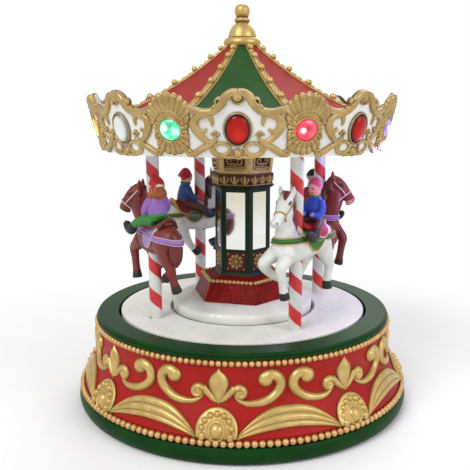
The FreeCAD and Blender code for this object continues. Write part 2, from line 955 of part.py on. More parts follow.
def turntable():
    hub = hub_radius + hub_wall
    plate_bottom = deck - turntable_thickness
    skirt = well_radius + well_wall
    body = lathe(
        (hub_radius, web_bottom - gear_thickness),
        (hub, web_bottom - gear_thickness),
        (hub, web_bottom),
        (skirt, web_bottom),
        (skirt, plate_bottom),
        (turntable_radius, plate_bottom),
        (turntable_radius, deck),
        (well_radius, deck),
        (well_radius, web_top),
        (hub_radius, web_top),
    )
    sockets = [rod(pole_radius, deck - pole_socket, deck, place) for place in pole_places()]
    return body.cut(Part.Compound(sockets))


def centre_disc():
    edge = well_radius - disc_gap
    bend = disc_edge * (1 - math.sqrt(0.5))
    return lathe(
        (tube_radius, disc_bottom),
        (edge, disc_bottom),
        (edge, disc_top - disc_edge),
        ((edge - bend, disc_top - bend), (edge - disc_edge, disc_top)),
        (column_plinth_foot, column_foot),
        (tube_radius, column_foot),
    )


# Column pieces are made with a side facing the front, then turned.
side_turn = column_turn - half_angle(column_sides)


def around_column(shape):
    return ring_of(shape, column_sides, side_turn)


def column_tower(*stations):
    solid = tower(column_sides, stations, column_turn)
    return solid.cut(rod(tube_radius, stations[0][1], stations[-1][1]))


def plinth_stations():
    head = column_foot + column_plinth_height
    cap = column_radius + column_moulding
    return ((column_plinth_foot, column_foot), (column_plinth_head, head), (cap, column_start))


def column_plinth():
    return column_tower(*plinth_stations())


def plinth_beads():
    head = column_foot + column_plinth_height
    out = apothem(column_sides, column_plinth_head) + column_bead / 2
    pitch = column_plinth_head / column_beads_per_side
    pearls = []
    for step in range(column_beads_per_side):
        aside = (step - (column_beads_per_side - 1) / 2) * pitch
        pearls.append(Part.makeSphere(column_bead, Vector(aside, -out, head)))
    length = (column_beads_per_side - 1) * pitch
    pearls.append(Part.makeCylinder(bead_wire, length, Vector(-length / 2, -out, head), Vector(1, 0, 0)))
    seat = tower(column_sides, plinth_stations(), half_angle(column_sides))
    return around_column(fused(pearls).cut(seat))


def column_recess(lift, height, depth, skin):
    face = apothem(column_sides, column_radius)
    return block(0, skin / 2 + depth - face - skin, column_start + lift, panel_width, skin, height)


def column_frame():
    foot = column_start + column_moulding_height
    head = column_top - column_moulding_height
    grown = column_radius + column_moulding
    shaft = column_tower((column_radius, column_start), (column_radius, column_top))
    base = column_tower((grown, column_start), (column_radius, foot))
    cap = column_tower((column_radius, head), (grown + column_moulding, column_top))
    recesses = around_column(column_recess(lower_panel_lift, lower_panel_height, panel_depth, panel_depth))
    recesses += around_column(column_recess(mirror_lift, mirror_height, panel_depth, panel_depth))
    return fused([shaft, base, cap]).cut(Part.Compound(recesses))


def column_mirrors():
    return around_column(column_recess(mirror_lift, mirror_height, panel_depth, panel_skin))


def column_panels():
    return around_column(column_recess(lower_panel_lift, lower_panel_height, panel_depth, panel_skin))


def column_rosettes():
    face = apothem(column_sides, column_radius) - panel_depth + panel_skin
    foot = column_start + lower_panel_lift
    seat = Vector(0, -face, foot + lower_panel_height / 2)
    forward = Vector(0, -1, 0)
    disc = Part.makeCylinder(column_rosette, panel_skin, seat, forward)
    behind = block(0, -face / 2, foot, 2 * column_radius, face, lower_panel_height)
    knobs = [Part.makeSphere(column_rosette_heart, seat + forward * panel_skin)]
    for step in range(column_petals):
        turn = 2 * math.pi * step / column_petals
        spot = Vector(math.cos(turn), 0, math.sin(turn)) * column_petal_ring
        knobs.append(Part.makeSphere(column_petal, seat + spot + forward * panel_skin))
    return around_column(fused([disc] + knobs).cut(behind))


def frieze_stations(grow):
    return ((frieze_radius + grow, column_top), (frieze_radius + frieze_flare + grow, frieze_top))


def capital_frieze():
    return column_tower(*frieze_stations(0))


def capital_leaves():
    core = tower(column_sides, frieze_stations(0), half_angle(column_sides))
    layer = tower(column_sides, frieze_stations(frieze_leaf_proud), half_angle(column_sides)).cut(core)
    low = column_top + frieze_leaf_foot
    high = frieze_top - frieze_leaf_head
    middle = (low + high) / 2
    leaves = []
    for step in range(frieze_leaves):
        aside = (step - (frieze_leaves - 1) / 2) * frieze_leaf_pitch
        right = (aside + frieze_leaf_half, middle)
        left = (aside - frieze_leaf_half, middle)
        petal = outline((aside, low), (right, (aside, high)), (left, (aside, low)))
        leaves.append(on_drum(petal).common(layer))
    return [copy for leaf in leaves for copy in around_column(leaf)]


def cornice_stations(grow):
    return ((cornice_radius + grow, frieze_top), (cornice_radius + cornice_flare + grow, ceiling))


def capital_cornice():
    body = column_tower(*cornice_stations(0))
    wide = cornice_panel_half
    low = frieze_top + cornice_panel_foot
    high = ceiling - cornice_panel_head
    field = on_drum(outline((-wide, low), (wide, low), (wide, high), (-wide, high)))
    keep = tower(column_sides, cornice_stations(-cornice_panel_depth), half_angle(column_sides))
    return body.cut(Part.Compound(around_column(field.cut(keep))))


# Canopy pieces are made facing the front in a plane that touches the valance, then leaned and turned.
tilt = math.radians(valance_tilt)


def on_valance(shape):
    copy = shape.copy()
    copy.rotate(Vector(), Vector(1, 0, 0), valance_tilt)
    copy.translate(Vector(0, -valance_radius, valance_bottom))
    return copy


def around_sides(shape):
    return ring_of(shape, canopy_sides, canopy_turn)


def around_corners(shape):
    return ring_of(shape, canopy_sides, canopy_turn + half_angle(canopy_sides))


# Leaning cone that the valance wraps, shrunk by a skin, its seam line at the back.
def canopy_core(skin, bottom, top):
    foot = valance_radius - skin / math.cos(tilt)
    low = foot + math.tan(tilt) * (bottom - valance_bottom)
    high = foot + math.tan(tilt) * (top - valance_bottom)
    cone = Part.makeCone(low, high, top - bottom, Vector(0, 0, bottom))
    cone.rotate(Vector(), up, 90)
    return cone


# Layer of the valance between two skins, over the front field only.
def valance_layer(outer, inner):
    top = roof_top
    layer = canopy_core(outer, valance_bottom, top).cut(canopy_core(inner, valance_bottom, top))
    return layer.common(wedge(canopy_sides, 2 * valance_radius, 0, 2 * top))


# Face drawn over the front field, pushed level through the valance from front to back.
def through_valance(face):
    deep = valance_radius / 2
    return moved(face, Vector(0, -deep, valance_bottom)).extrude(Vector(0, -2 * deep, 0))


def wedge(sides, reach, bottom, top):
    half = half_angle(sides)
    corners = [Vector(0, 0, bottom), place_at(reach, -half, bottom), place_at(reach, half, bottom)]
    return Part.Face(Part.makePolygon(corners + corners[:1])).extrude(Vector(0, 0, top - bottom))


def ceiling_plate():
    plate = canopy_core(valance_thickness, ceiling, ceiling + ceiling_thickness)
    return plate.cut(rod(tube_radius, ceiling, ceiling + ceiling_thickness))


def valance_panels():
    reach = valance_radius
    crest = raised(crest_outline, valance_valley)
    side = outline((-reach, 0), (reach, 0), (reach, valance_valley), *crest, (-reach, valance_valley))
    panel = through_valance(side).common(valance_layer(0, valance_thickness))
    return around_sides(panel.cut(side_lamps(0)))


# Face of a curved band on the valance, a slice of a ring between two angles.
def band(across, height, radius, width, start, end):
    middle = (start + end) / 2

    def spot(reach, degrees):
        turn = math.radians(degrees)
        return (across + reach * math.cos(turn), height + reach * math.sin(turn))

    outer = radius + width / 2
    inner = radius - width / 2
    return outline(
        spot(inner, start),
        spot(outer, start),
        (spot(outer, middle), spot(outer, end)),
        spot(inner, end),
        (spot(inner, middle), spot(inner, start)),
    )


def button(x, height, radius):
    rim = Part.makeCircle(radius, Vector(x, 0, height), Vector(0, -1, 0))
    return Part.Face(Part.Wire(rim))


def upright_oval(height, wide, tall):
    ellipse = Part.Ellipse(Vector(), tall, wide).toShape()
    face = Part.Face(Part.Wire(ellipse))
    face.rotate(Vector(), up, 90)
    face.rotate(Vector(), Vector(1, 0, 0), 90)
    return moved(face, Vector(0, 0, height))


def bands_at(rows, base):
    return [band(across, base + height, *size) for across, height, *size in rows]


def valance_scrolls():
    wide = jewel_width / 2
    tall = jewel_height / 2
    middle = lamp_lift * math.cos(tilt)
    ring = upright_oval(middle, wide + bezel_width, tall + bezel_width)
    half = bands_at(crest_bands, valance_valley)
    half += bands_at(heart_bands, middle)
    half += bands_at(foot_bands, 0)
    half.append(button(heart_button_place[0], middle + heart_button_place[1], heart_button))
    whole = half + [mirrored(shape) for shape in half] + [ring]
    whole.append(button(0, bottom_button_lift, bottom_button))
    whole.append(button(0, valance_valley + crest_button_lift, crest_button))
    layer = valance_layer(-scroll_height, 0)
    pieces = fused([through_valance(face) for face in whole]).removeSplitter().common(layer)
    turn = half_angle(canopy_sides)
    shells = [turned(corner_shell(), turn), turned(corner_shell(), -turn)]
    seat = moved(upright_oval(lamp_lift, wide, tall), Vector(0, scroll_height, 0))
    pieces = pieces.cut(on_valance(seat.extrude(Vector(0, -3 * scroll_height, 0)))).cut(Part.Compound(shells))
    kept = [solid for solid in pieces.Solids if solid.Volume > crumb_volume]
    return [copy for solid in kept for copy in around_sides(solid)]


def jewel():
    dome = Part.makeSphere(1.0, Vector(), Vector(0, -1, 0), 0, 90, 360)
    stretch = FreeCAD.Matrix()
    stretch.scale(Vector(jewel_width / 2, jewel_dome, jewel_height / 2))
    return on_valance(moved(dome.transformGeometry(stretch), Vector(0, 0, lamp_lift)))


def jewels(steps):
    return [turned(jewel(), canopy_turn + 360.0 * step / canopy_sides) for step in steps]


clear_sides = (3, 5, 7)
red_sides = [step for step in range(canopy_sides) if step not in clear_sides]


# Flutes that fan out from a root, the middle one straight up or down.
def shell_fan_flutes(count, spread, root, rise, thin, length_at):
    flutes = []
    for step in range(count):
        lean = math.radians(spread * (2 * step / (count - 1) - 1))
        aim = Vector(math.sin(lean), 0, rise * math.cos(lean))
        reach = length_at(lean)
        flutes.append(Part.makeCone(thin, shell_flute_radius, reach, root, aim))
        flutes.append(Part.makeSphere(shell_flute_radius, root + aim * reach))
    return flutes


# Scallop shell on a valance corner: fluted fan above, lamp ring, fluted foot below.
def corner_shell():
    depth = shell_depth + shell_proud
    hip = (shell_waist, lamp_lift + bezel_width)
    shoulder = (shell_shoulder, lamp_lift + lamp_radius + bezel_width)
    plate = outline(
        (-shell_foot, shell_sill),
        ((0, shell_sill - shell_sag), (shell_foot, shell_sill)),
        ((shell_waist, lamp_lift / 2), hip),
        shoulder,
        ((0, shell_head), (-shoulder[0], shoulder[1])),
        (-hip[0], hip[1]),
        ((-shell_waist, lamp_lift / 2), (-shell_foot, shell_sill)),
    )
    solid = moved(plate.extrude(Vector(0, depth, 0)), Vector(0, -shell_proud, 0))
    back = block(0, shell_depth, valance_valley, 4 * shell_fan, shell_depth, 2 * shell_fan)
    head_root = Vector(0, -shell_proud, lamp_lift + lamp_radius - lamp_bezel)
    foot_root = Vector(0, -shell_proud, lamp_lift - lamp_radius)
    head_fan = (shell_flutes, shell_flute_spread, head_root, 1, shell_flute_root, fan_reach)
    flutes = shell_fan_flutes(*head_fan)
    foot_fan = (shell_foot_flutes, shell_foot_spread, foot_root, -1, shell_foot_root, foot_reach)
    flutes += shell_fan_flutes(*foot_fan)
    forward = Vector(0, -1, 0)
    collar_height = scroll_height + shell_proud
    collar = Part.makeCylinder(lamp_radius + lamp_bezel, collar_height, Vector(0, 0, lamp_lift), forward)
    seat = Part.makeCylinder(lamp_radius, 2 * depth, Vector(0, depth, lamp_lift), forward)
    whole = fused([solid.cut(back)] + flutes + [collar]).cut(seat)
    return on_valance(whole).cut(canopy_core(0, 0, roof_top))


def fan_reach(lean):
    return shell_flute_reach - shell_flute_fall * abs(math.sin(lean))


def foot_reach(lean):
    return shell_foot_reach


def lamp_lens():
    dome = dome_step(lamp_radius, lens_edge, lens_dome)
    lens = lathe((0, 0), (lamp_radius, 0), (lamp_radius, lens_edge), dome)
    lens.rotate(Vector(), Vector(1, 0, 0), 90)
    return on_valance(moved(lens, Vector(0, -lens_seat, lamp_lift)))


lamp_order = ("red", "blue", "yellow", "green")


def lamp_lenses(colour):
    lenses = around_corners(lamp_lens())
    return [lens for step, lens in enumerate(lenses) if lamp_order[step % len(lamp_order)] == colour]


# A lamp behind each corner, standing in a hole through the valance; room makes the space left round it.
def led(room=0.0):
    length = led_length + room
    back = Vector(0, length, lamp_lift)
    return on_valance(Part.makeCylinder(led_radius + room, length, back, Vector(0, -1, 0)))


# The lamps at both ends of the front side.
def side_lamps(room):
    half = half_angle(canopy_sides)
    return Part.Compound([turned(led(room), turn) for turn in (half, -half)])


def canopy_leds():
    return around_corners(led())


# Roof profile from the crown to the eave, in the plane of a corner or of a side.
def roof_section(scale, above, below):
    chord = Vector(roof_reach - roof_top_radius, 0, -roof_rise)
    dip = Vector(-roof_rise, 0, -(roof_reach - roof_top_radius)).normalize() * roof_sag
    start = Vector(roof_top_radius, 0, roof_top)
    middle = start + chord * 0.5 + dip
    end = start + chord

    def lift(point, height):
        return (point.x * scale, point.z + height)

    high = [lift(point, above) for point in (start, middle, end)]
    low = [lift(point, -below) for point in (start, middle, end)]
    return outline(low[0], (low[1], low[2]), high[2], (high[1], high[0]))


def roof_panel():
    scale = math.cos(math.radians(half_angle(canopy_sides)))
    face = roof_section(scale, 0, roof_skin)
    face.rotate(Vector(), up, -90)
    slab = moved(face, Vector(-roof_reach, 0, 0)).extrude(Vector(2 * roof_reach, 0, 0))
    inside = canopy_core(valance_thickness, valance_bottom, roof_top)
    leaf = slab.common(wedge(canopy_sides, 2 * roof_reach, 0, 2 * roof_top)).common(inside)
    return leaf.cut(side_lamps(led_room))


def roof_panels(remainder):
    steps = [step for step in range(canopy_sides) if step % 2 == remainder]
    return [turned(roof_panel(), canopy_turn + 360.0 * step / canopy_sides) for step in steps]


def roof_rib():
    face = roof_section(1.0, rib_proud, rib_root)
    strip = moved(face, Vector(0, -rib_width / 2, 0)).extrude(Vector(0, rib_width, 0))
    strip.rotate(Vector(), up, -90)
    solid = strip.common(canopy_core(valance_thickness, valance_bottom, roof_top))
    reach = roof_reach - roof_top_radius
    steep = math.hypot(reach, roof_rise) / reach
    pearls = []
    for step in range(rib_balls):
        share = (rib_ball_first + rib_ball_span * step / rib_balls) ** rib_ball_spread
        dip = 4 * roof_sag * share * (1 - share) * steep
        height = roof_top - share * roof_rise - dip + rib_proud
        pearls.append(Part.makeSphere(rib_ball, Vector(0, -roof_top_radius - share * reach, height)))
    half = half_angle(canopy_sides)
    sides = [turned(roof_panel(), half), turned(roof_panel(), -half), led(led_room)]
    return fused([solid] + pearls).cut(fused(sides))


def finial():
    ring_middle = (finial_ring, (finial_ring_start[1] + finial_ring_end[1]) / 2)
    knob_middle = (finial_knob, (finial_neck[1] + finial_knob_end[1]) / 2)
    steps = (
        (0, 0),
        (finial_foot, 0),
        ((finial_flange, finial_flange_height / 2), (finial_foot, finial_flange_height)),
        (finial_bell, finial_bell_start),
        (finial_bell_middle, finial_ring_start),
        (ring_middle, finial_ring_end),
        finial_neck,
        (knob_middle, finial_knob_end),
        dome_step(*finial_knob_end, finial_height - finial_knob_end[1]),
    )
    return lathe(*raised(steps, roof_top - finial_sink))


def pole_places():
    bearings = [figure_bearing + 360.0 * step / figure_count for step in range(figure_count)]
    return [place_at(figure_ring, bearing) for bearing in bearings]


def poles():
    foot = deck - pole_socket
    head = ceiling - pole_clearance
    return [rod(pole_radius, foot, head, place) for place in pole_places()]


# Closed oval section at a point, square to a direction.
def section(point, along, tall, wide):
    along = Vector(along).normalize()
    side = Vector(0, 1, 0)
    side = (side - along * side.dot(along)).normalize()
    rise = along.cross(side)
    spots = []
    for step in range(section_points):
        turn = 2 * math.pi * step / section_points
        spots.append(point + rise * (tall * math.cos(turn)) + side * (wide * math.sin(turn)))
    curve = Part.BSplineCurve()
    curve.interpolate(spots, PeriodicFlag=True)
    return Part.Wire(curve.toShape())


# Smooth limb through stations of a figure.
def limb(*stations):
    points = [Vector(*row[:3]) for row in stations]
    wires = []
    for step, row in enumerate(stations):
        before = points[max(step - 1, 0)]
        after = points[min(step + 1, len(points) - 1)]
        wires.append(section(points[step], after - before, row[3], row[4]))
    return Part.makeLoft(wires, True)


def both_sides(shape):
    return [shape, shape.mirror(Vector(), Vector(0, 1, 0))]


def pole_bore():
    return Part.makeCylinder(pole_radius, 2 * ceiling)


def horse_barrel(grow=0.0):
    return limb(*[(*row[:3], row[3] + grow, row[4] + grow) for row in horse_barrel_rows])


# Leg on one side (1 left, -1 right) and its hoof, which goes on the way the pastern points.
def leg(side, joints, hip_size):
    hip, knee, fetlock, pastern = joints
    aside = foreleg_side if hip[0] > 0 else hind_leg_side
    upper = limb(
        (hip[0], side * (aside - hip_inset), hip[1], *hip_size),
        (knee[0], side * aside, knee[1], *knee_size),
        (fetlock[0], side * aside, fetlock[1], *fetlock_size),
        (pastern[0], side * aside, pastern[1], *pastern_size),
    )
    down = Vector(pastern[0] - fetlock[0], 0, pastern[1] - fetlock[1]).normalize() * hoof_height
    sole = (pastern[0] + down.x, side * aside, pastern[1] + down.z, *hoof_size)
    hoof = limb((pastern[0], side * aside, pastern[1], *pastern_size), sole)
    return [upper, hoof]


# Stations turned to the left about the neck's root, more the higher they are.
def looking(rows, turn):
    turned_rows = []
    for forward, left, height, *size in rows:
        share = min(max((height - neck_root[1]) / neck_rise, 0.0), 1.0)
        lean = math.radians(turn * share)
        ahead = forward - neck_root[0]
        across = ahead * math.sin(lean) + left * math.cos(lean)
        onward = neck_root[0] + ahead * math.cos(lean) - left * math.sin(lean)
        turned_rows.append((onward, across, height, *size))
    return turned_rows


def horse_body(stretched_side, head_turn):
    right_ear = [(forward, -left, *size) for forward, left, *size in horse_ear]
    parts = [horse_barrel(), limb(*horse_tail)]
    for rows in (horse_neck, horse_head, horse_mane, horse_ear, right_ear):
        parts.append(limb(*looking(rows, head_turn)))
    parts += leg(1, reaching_foreleg, foreleg_hip)
    parts += leg(-1, folded_foreleg, foreleg_hip)
    parts += leg(stretched_side, stretched_hind_leg, hind_leg_hip)
    parts += leg(-stretched_side, gathered_hind_leg, hind_leg_hip)
    return fused(parts).cut(pole_bore())


def saddle_blanket(horse):
    middle = (blanket_back + blanket_front) / 2
    length = blanket_front - blanket_back
    cover = block(middle, 0, blanket_low, length, plinth_radius, plinth_radius)
    return horse_barrel(blanket_skin).common(cover).cut(horse)


def rider_whole(shift):
    head = Part.makeSphere(rider_head_radius, Vector(*rider_head))
    brim = Part.makeTorus(rider_brim_radius, rider_brim_thickness, Vector(*rider_brim_place), up)
    parts = [limb(*rider_torso), head, brim, limb(*rider_hat)]
    for rows in (rider_arm, rider_thigh, rider_boot):
        parts += both_sides(limb(*rows))
    return moved(fused(parts), Vector(*shift))


def rider_body(shift, horse, blanket):
    return rider_whole(shift).cut(horse).cut(blanket).cut(pole_bore())


# Figures are made at the pole facing +X, then set on the turntable at their place.
def on_turntable(shape, number):
    bearing = figure_bearing + 360.0 * number / figure_count
    copy = shape.copy()
    copy.rotate(Vector(), up, bearing + 180 + figure_yaws[number])
    copy.translate(place_at(figure_ring, bearing, deck))
    return copy


def figures():
    saddles = []
    for number, name in enumerate(figure_names):
        horse = horse_body(1 if number % 2 == 0 else -1, head_turns[number])
        blanket = saddle_blanket(horse)
        rider = rider_body(rider_shifts[number], horse, blanket)
        save("horse_" + name, [on_turntable(horse, number)])
        save("rider_" + name, [on_turntable(rider, number)])
        saddles.append(on_turntable(blanket, number))
    save("saddle_blankets", saddles)


def save(name, shapes):
    solids = [solid for shape in shapes for solid in shape.Solids]
    shape = solids[0] if len(solids) == 1 else Part.Compound(solids)
    shape.exportStep("parts/" + name + ".step")


os.makedirs("parts", exist_ok=True)
save("base_drum", [base_drum()])
save("base_plinth", [base_plinth()])
save("base_rim", [base_rim()])
lower_bead_height = plinth_top + lower_bead_radius + bead_gap
upper_bead_height = rim_bottom - upper_bead_radius - bead_gap
save("lower_beads", bead_row(lower_bead_height, lower_bead_radius, lower_beads_per_unit))
save("upper_beads", bead_row(upper_bead_height, upper_bead_radius, upper_beads_per_unit))
save("drum_relief", drum_relief())
save("bottom_cover", [bottom_cover()])
save("rubber_feet", rubber_feet())
save("cover_screws", cover_screws())
save("chassis", [chassis()])
save("gear_motor", [gear_motor()])
save("motor_pinion", [motor_pinion()])
save("idler_gear", [idler_gear()])
save("idler_axle", [idler_axle()])
save("drive_gear", [drive_gear()])
save("speaker", [speaker()])
save("sound_board", [sound_board()])
save("battery_box", [battery_box()])
save("battery_cells", battery_cells())
save("battery_door", [battery_door()])
save("switch_body", [switch_body()])
save("switch_knob", [switch_knob()])
save("centre_post", [centre_post()])
save("hub_bush", [hub_bush()])
save("turntable", [turntable()])
save("centre_disc", [centre_disc()])
save("column_plinth", [column_plinth()])
save("plinth_beads", plinth_beads())
save("column_frame", [column_frame()])
save("column_mirrors", column_mirrors())
save("column_panels", column_panels())
save("column_rosettes", column_rosettes())
save("capital_frieze", [capital_frieze()])
save("capital_leaves", capital_leaves())
save("capital_cornice", [capital_cornice()])
save("ceiling_plate", [ceiling_plate()])
save("valance_panels", valance_panels())
save("valance_scrolls", valance_scrolls())
save("corner_shells", around_corners(corner_shell()))
save("jewels_red", jewels(red_sides))
save("jewels_clear", jewels(clear_sides))
for colour in lamp_order:
    save("lamp_lenses_" + colour, lamp_lenses(colour))
save("canopy_leds", canopy_leds())
save("roof_panels_green", roof_panels(0))
save("roof_panels_red", roof_panels(1))
save("roof_ribs", around_corners(roof_rib()))
save("finial", [finial()])
save("poles", poles())
figures()
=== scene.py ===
import bpy
import math
import numpy as np
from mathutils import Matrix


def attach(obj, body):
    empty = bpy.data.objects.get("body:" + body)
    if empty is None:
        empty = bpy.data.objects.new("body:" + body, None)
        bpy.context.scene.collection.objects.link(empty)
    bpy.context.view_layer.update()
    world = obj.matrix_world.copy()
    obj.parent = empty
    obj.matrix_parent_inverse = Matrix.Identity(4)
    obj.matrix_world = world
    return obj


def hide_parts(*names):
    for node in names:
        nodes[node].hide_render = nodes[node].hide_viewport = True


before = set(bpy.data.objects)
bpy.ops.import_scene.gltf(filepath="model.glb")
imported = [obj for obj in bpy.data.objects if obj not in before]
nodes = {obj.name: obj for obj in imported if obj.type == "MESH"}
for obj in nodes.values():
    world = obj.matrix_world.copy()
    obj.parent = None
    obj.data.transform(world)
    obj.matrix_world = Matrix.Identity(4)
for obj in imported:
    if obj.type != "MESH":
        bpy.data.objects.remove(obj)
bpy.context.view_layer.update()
mm = 0.001
print("frame loaded:", len(nodes), "nodes")


# rows that pass through the given rows by cubic steps; each row is left along the line between its neighbours
def through(rows, count):
    rows = np.asarray(rows, float)
    padded = np.vstack([2 * rows[0] - rows[1], rows, 2 * rows[-1] - rows[-2]])
    place = np.linspace(0, len(rows) - 1, count)
    start = np.minimum(place.astype(int), len(rows) - 2)
    t = (place - start)[:, None]
    a, b, c, d = (padded[start + k] for k in range(4))
    return 0.5 * (2 * b + (c - a) * t + (2 * a - 5 * b + 4 * c - d) * t**2 + (3 * b - a - 3 * c + d) * t**3)


# vectors cut to length one
def unit(vectors):
    return vectors / np.maximum(np.linalg.norm(vectors, axis=-1, keepdims=True), 1e-9)


# angles spaced evenly once round
def circle(count):
    return np.linspace(0, 2 * np.pi, count, endpoint=False)


# six times the enclosed volume is the sum over the faces of a . (b x c); where it is negative they are turned
def outward(points, faces):
    volume = 0.0
    for face in faces:
        for k in range(1, face.shape[1] - 1):
            a, b, c = points[face[:, 0]], points[face[:, k]], points[face[:, k + 1]]
            volume += np.einsum("ij,ij->i", a, np.cross(b, c)).sum()
    return faces if volume > 0 else [face[:, ::-1] for face in faces]


# closed skin over a stack of rings: quads between neighbouring rings and a fan over each end ring
def capped(rings, marks=None):
    count, sides = rings.shape[:2]
    ring = np.arange(count * sides).reshape(count, sides)
    beside = np.roll(ring, -1, 1)
    quads = np.stack([ring[:-1], beside[:-1], beside[1:], ring[1:]], -1).reshape(-1, 4)
    tips = count * sides + np.array([0, 1])
    low = np.stack([beside[0], ring[0], np.full(sides, tips[0])], -1)
    high = np.stack([ring[-1], beside[-1], np.full(sides, tips[1])], -1)
    points = np.vstack([rings.reshape(-1, 3), rings[0].mean(0), rings[-1].mean(0)])
    marks = np.zeros((count, sides)) if marks is None else marks
    marks = np.append(marks.ravel(), [marks[0].mean(), marks[-1].mean()])
    return points, outward(points, [quads, low, high]), marks


# closed skin over rings that come round to the first one again
def looped(rings, marks=None):
    count, sides = rings.shape[:2]
    ring = np.arange(count * sides).reshape(count, sides)
    after = np.roll(ring, -1, 0)
    quads = np.stack([ring, np.roll(ring, -1, 1), np.roll(after, -1, 1), after], -1).reshape(-1, 4)
    points = rings.reshape(-1, 3)
    marks = np.zeros((count, sides)) if marks is None else marks
    return points, outward(points, [quads]), marks.ravel()


# several surfaces as one: the face numbers of each are raised by the count of points before it
def joined(surfaces):
    starts = np.cumsum([0] + [len(surface[0]) for surface in surfaces])
    points = np.vstack([surface[0] for surface in surfaces])
    faces = [face + start for surface, start in zip(surfaces, starts) for face in surface[1]]
    return points, faces, np.concatenate([surface[2] for surface in surfaces])


# copies turned about the upright axis; a bearing runs from the front (-Y) towards +X
def around(surface, bearings):
    points, faces, marks = surface
    turn = np.radians(np.asarray(bearings, float))[:, None]
    x = points[:, 0] * np.cos(turn) - points[:, 1] * np.sin(turn)
    y = points[:, 0] * np.sin(turn) + points[:, 1] * np.cos(turn)
    z = np.broadcast_to(points[:, 2], x.shape)
    steps = np.arange(len(turn))[:, None, None] * len(points)
    copies = [(face + steps).reshape(-1, face.shape[1]) for face in faces]
    return np.stack([x, y, z], -1).reshape(-1, 3), copies, np.tile(marks, len(turn))


# puts a surface (points in mm, face index arrays) into a mesh that rides on a body
def makePiece(name, surface, material, body, hides, paint=None, uv=None):
    points, faces, marks = surface
    corners = np.concatenate([face.ravel() for face in faces]).astype(np.int32)
    sizes = np.concatenate([np.full(len(face), face.shape[1]) for face in faces])
    mesh = bpy.data.meshes.new(name)
    mesh.vertices.add(len(points))
    mesh.vertices.foreach_set("co", (points * mm).astype(np.float32).ravel())
    mesh.loops.add(len(corners))
    mesh.loops.foreach_set("vertex_index", corners)
    mesh.polygons.add(len(sizes))
    mesh.polygons.foreach_set("loop_start", (np.cumsum(sizes) - sizes).astype(np.int32))
    mesh.update(calc_edges=True)
    mesh.polygons.foreach_set("use_smooth", np.ones(len(sizes), bool))
    # per-point darkening read by the gold paints: brown antique wash and painted shade in hollows and where
    # parts meet
    wash = mesh.attributes.new("wash", "FLOAT", "POINT")
    wash.data.foreach_set("value", marks.astype(np.float32))
    if paint is not None:
        coat = mesh.attributes.new("paint", "FLOAT_COLOR", "POINT")
        opaque = np.column_stack([paint, np.ones(len(paint))])
        coat.data.foreach_set("color", opaque.astype(np.float32).ravel())
    if uv is not None:
        layer = mesh.uv_layers.new(name="run")
        perCorner = uv[corners] if len(uv) == len(points) else uv
        layer.data.foreach_set("uv", perCorner.astype(np.float32).ravel())
    mesh.materials.append(material)
    piece = bpy.data.objects.new(name, mesh)
    bpy.context.scene.collection.objects.link(piece)
    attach(piece, body)
    if hides:
        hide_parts(*hides)


# wraps a socket, so that shader maths is written as plain expressions
class Wire:
    def __init__(self, tree, socket=None):
        self.tree = tree
        self.socket = socket

    # any node: type, settings first, then its sockets' values or links; gives the chosen output
    def add(self, kind, settings, sockets, out=0):
        node = self.tree.nodes.new("ShaderNode" + kind)
        for key, value in settings.items():
            if key == "stops":
                ramp = node.color_ramp.elements
                ramp[0].position, ramp[0].color = value[0][0], (*value[0][1], 1)
                ramp[1].position, ramp[1].color = value[-1][0], (*value[-1][1], 1)
                for place, colour in value[1:-1]:
                    ramp.new(place).color = (*colour, 1)
            else:
                setattr(node, key, value)
        for key, value in sockets.items():
            if isinstance(value, Wire):
                self.tree.links.new(value.socket, node.inputs[key])
            else:
                node.inputs[key].default_value = value
        return Wire(self.tree, node.outputs[out])

    def math(self, operation, first, second):
        return self.add("Math", {"operation": operation}, {0: first, 1: second})

    def __add__(self, other):
        return self.math("ADD", self, other)

    def __radd__(self, other):
        return self.math("ADD", other, self)

    def __sub__(self, other):
        return self.math("SUBTRACT", self, other)

    def __rsub__(self, other):
        return self.math("SUBTRACT", other, self)

    def __mul__(self, other):
        return self.math("MULTIPLY", self, other)

    def __rmul__(self, other):
        return self.math("MULTIPLY", other, self)

    def __pow__(self, other):
        return self.math("POWER", self, other)

    # 0 below low, 1 above high, smooth between
    def between(self, low, high):
        return self.add("MapRange", {"interpolation_type": "SMOOTHSTEP"}, {0: self, 1: low, 2: high})

    def place(self):
        return self.add("TexCoord", {}, {}, "Object")

    def noise(self, size, detail=2.0):
        return self.add("TexNoise", {}, {"Vector": self.place(), "Scale": 1 / size, "Detail": detail}, "Fac")

    # chosen parts of a vector
    def parts(self, axes):
        return [self.add("SeparateXYZ", {}, {0: self}, axis) for axis in axes]

    def ray(self, kind):
        return self.add("LightPath", {}, {}, kind)

    def mark(self, name, out="Fac"):
        return self.add("Attribute", {"attribute_name": name}, {}, out)

    # colour between two colours
    def blend(self, first, second):
        pair = [c if isinstance(c, Wire) else (*c, 1) for c in (first, second)]
        return self.add("Mix", {"data_type": "RGBA"}, {0: self, 6: pair[0], 7: pair[1]}, 2)

    def bump(self, strength, distance):
        return self.add("Bump", {}, {"Strength": strength, "Distance": distance, "Height": self}, "Normal")


# a material: fixed values set on the shader's own sockets, what varies linked from the given function
def finish(name, fixed, vary):
    material = bpy.data.materials.new(name)
    material.use_nodes = True
    tree = material.node_tree
    shader = tree.nodes["Principled BSDF"]
    for key, value in fixed.items():
        shader.inputs[key].default_value = (*value, 1) if isinstance(value, tuple) else value
    for key, wire in vary(Wire(tree)).items():
        tree.links.new(wire.socket, shader.inputs[key])
    return material


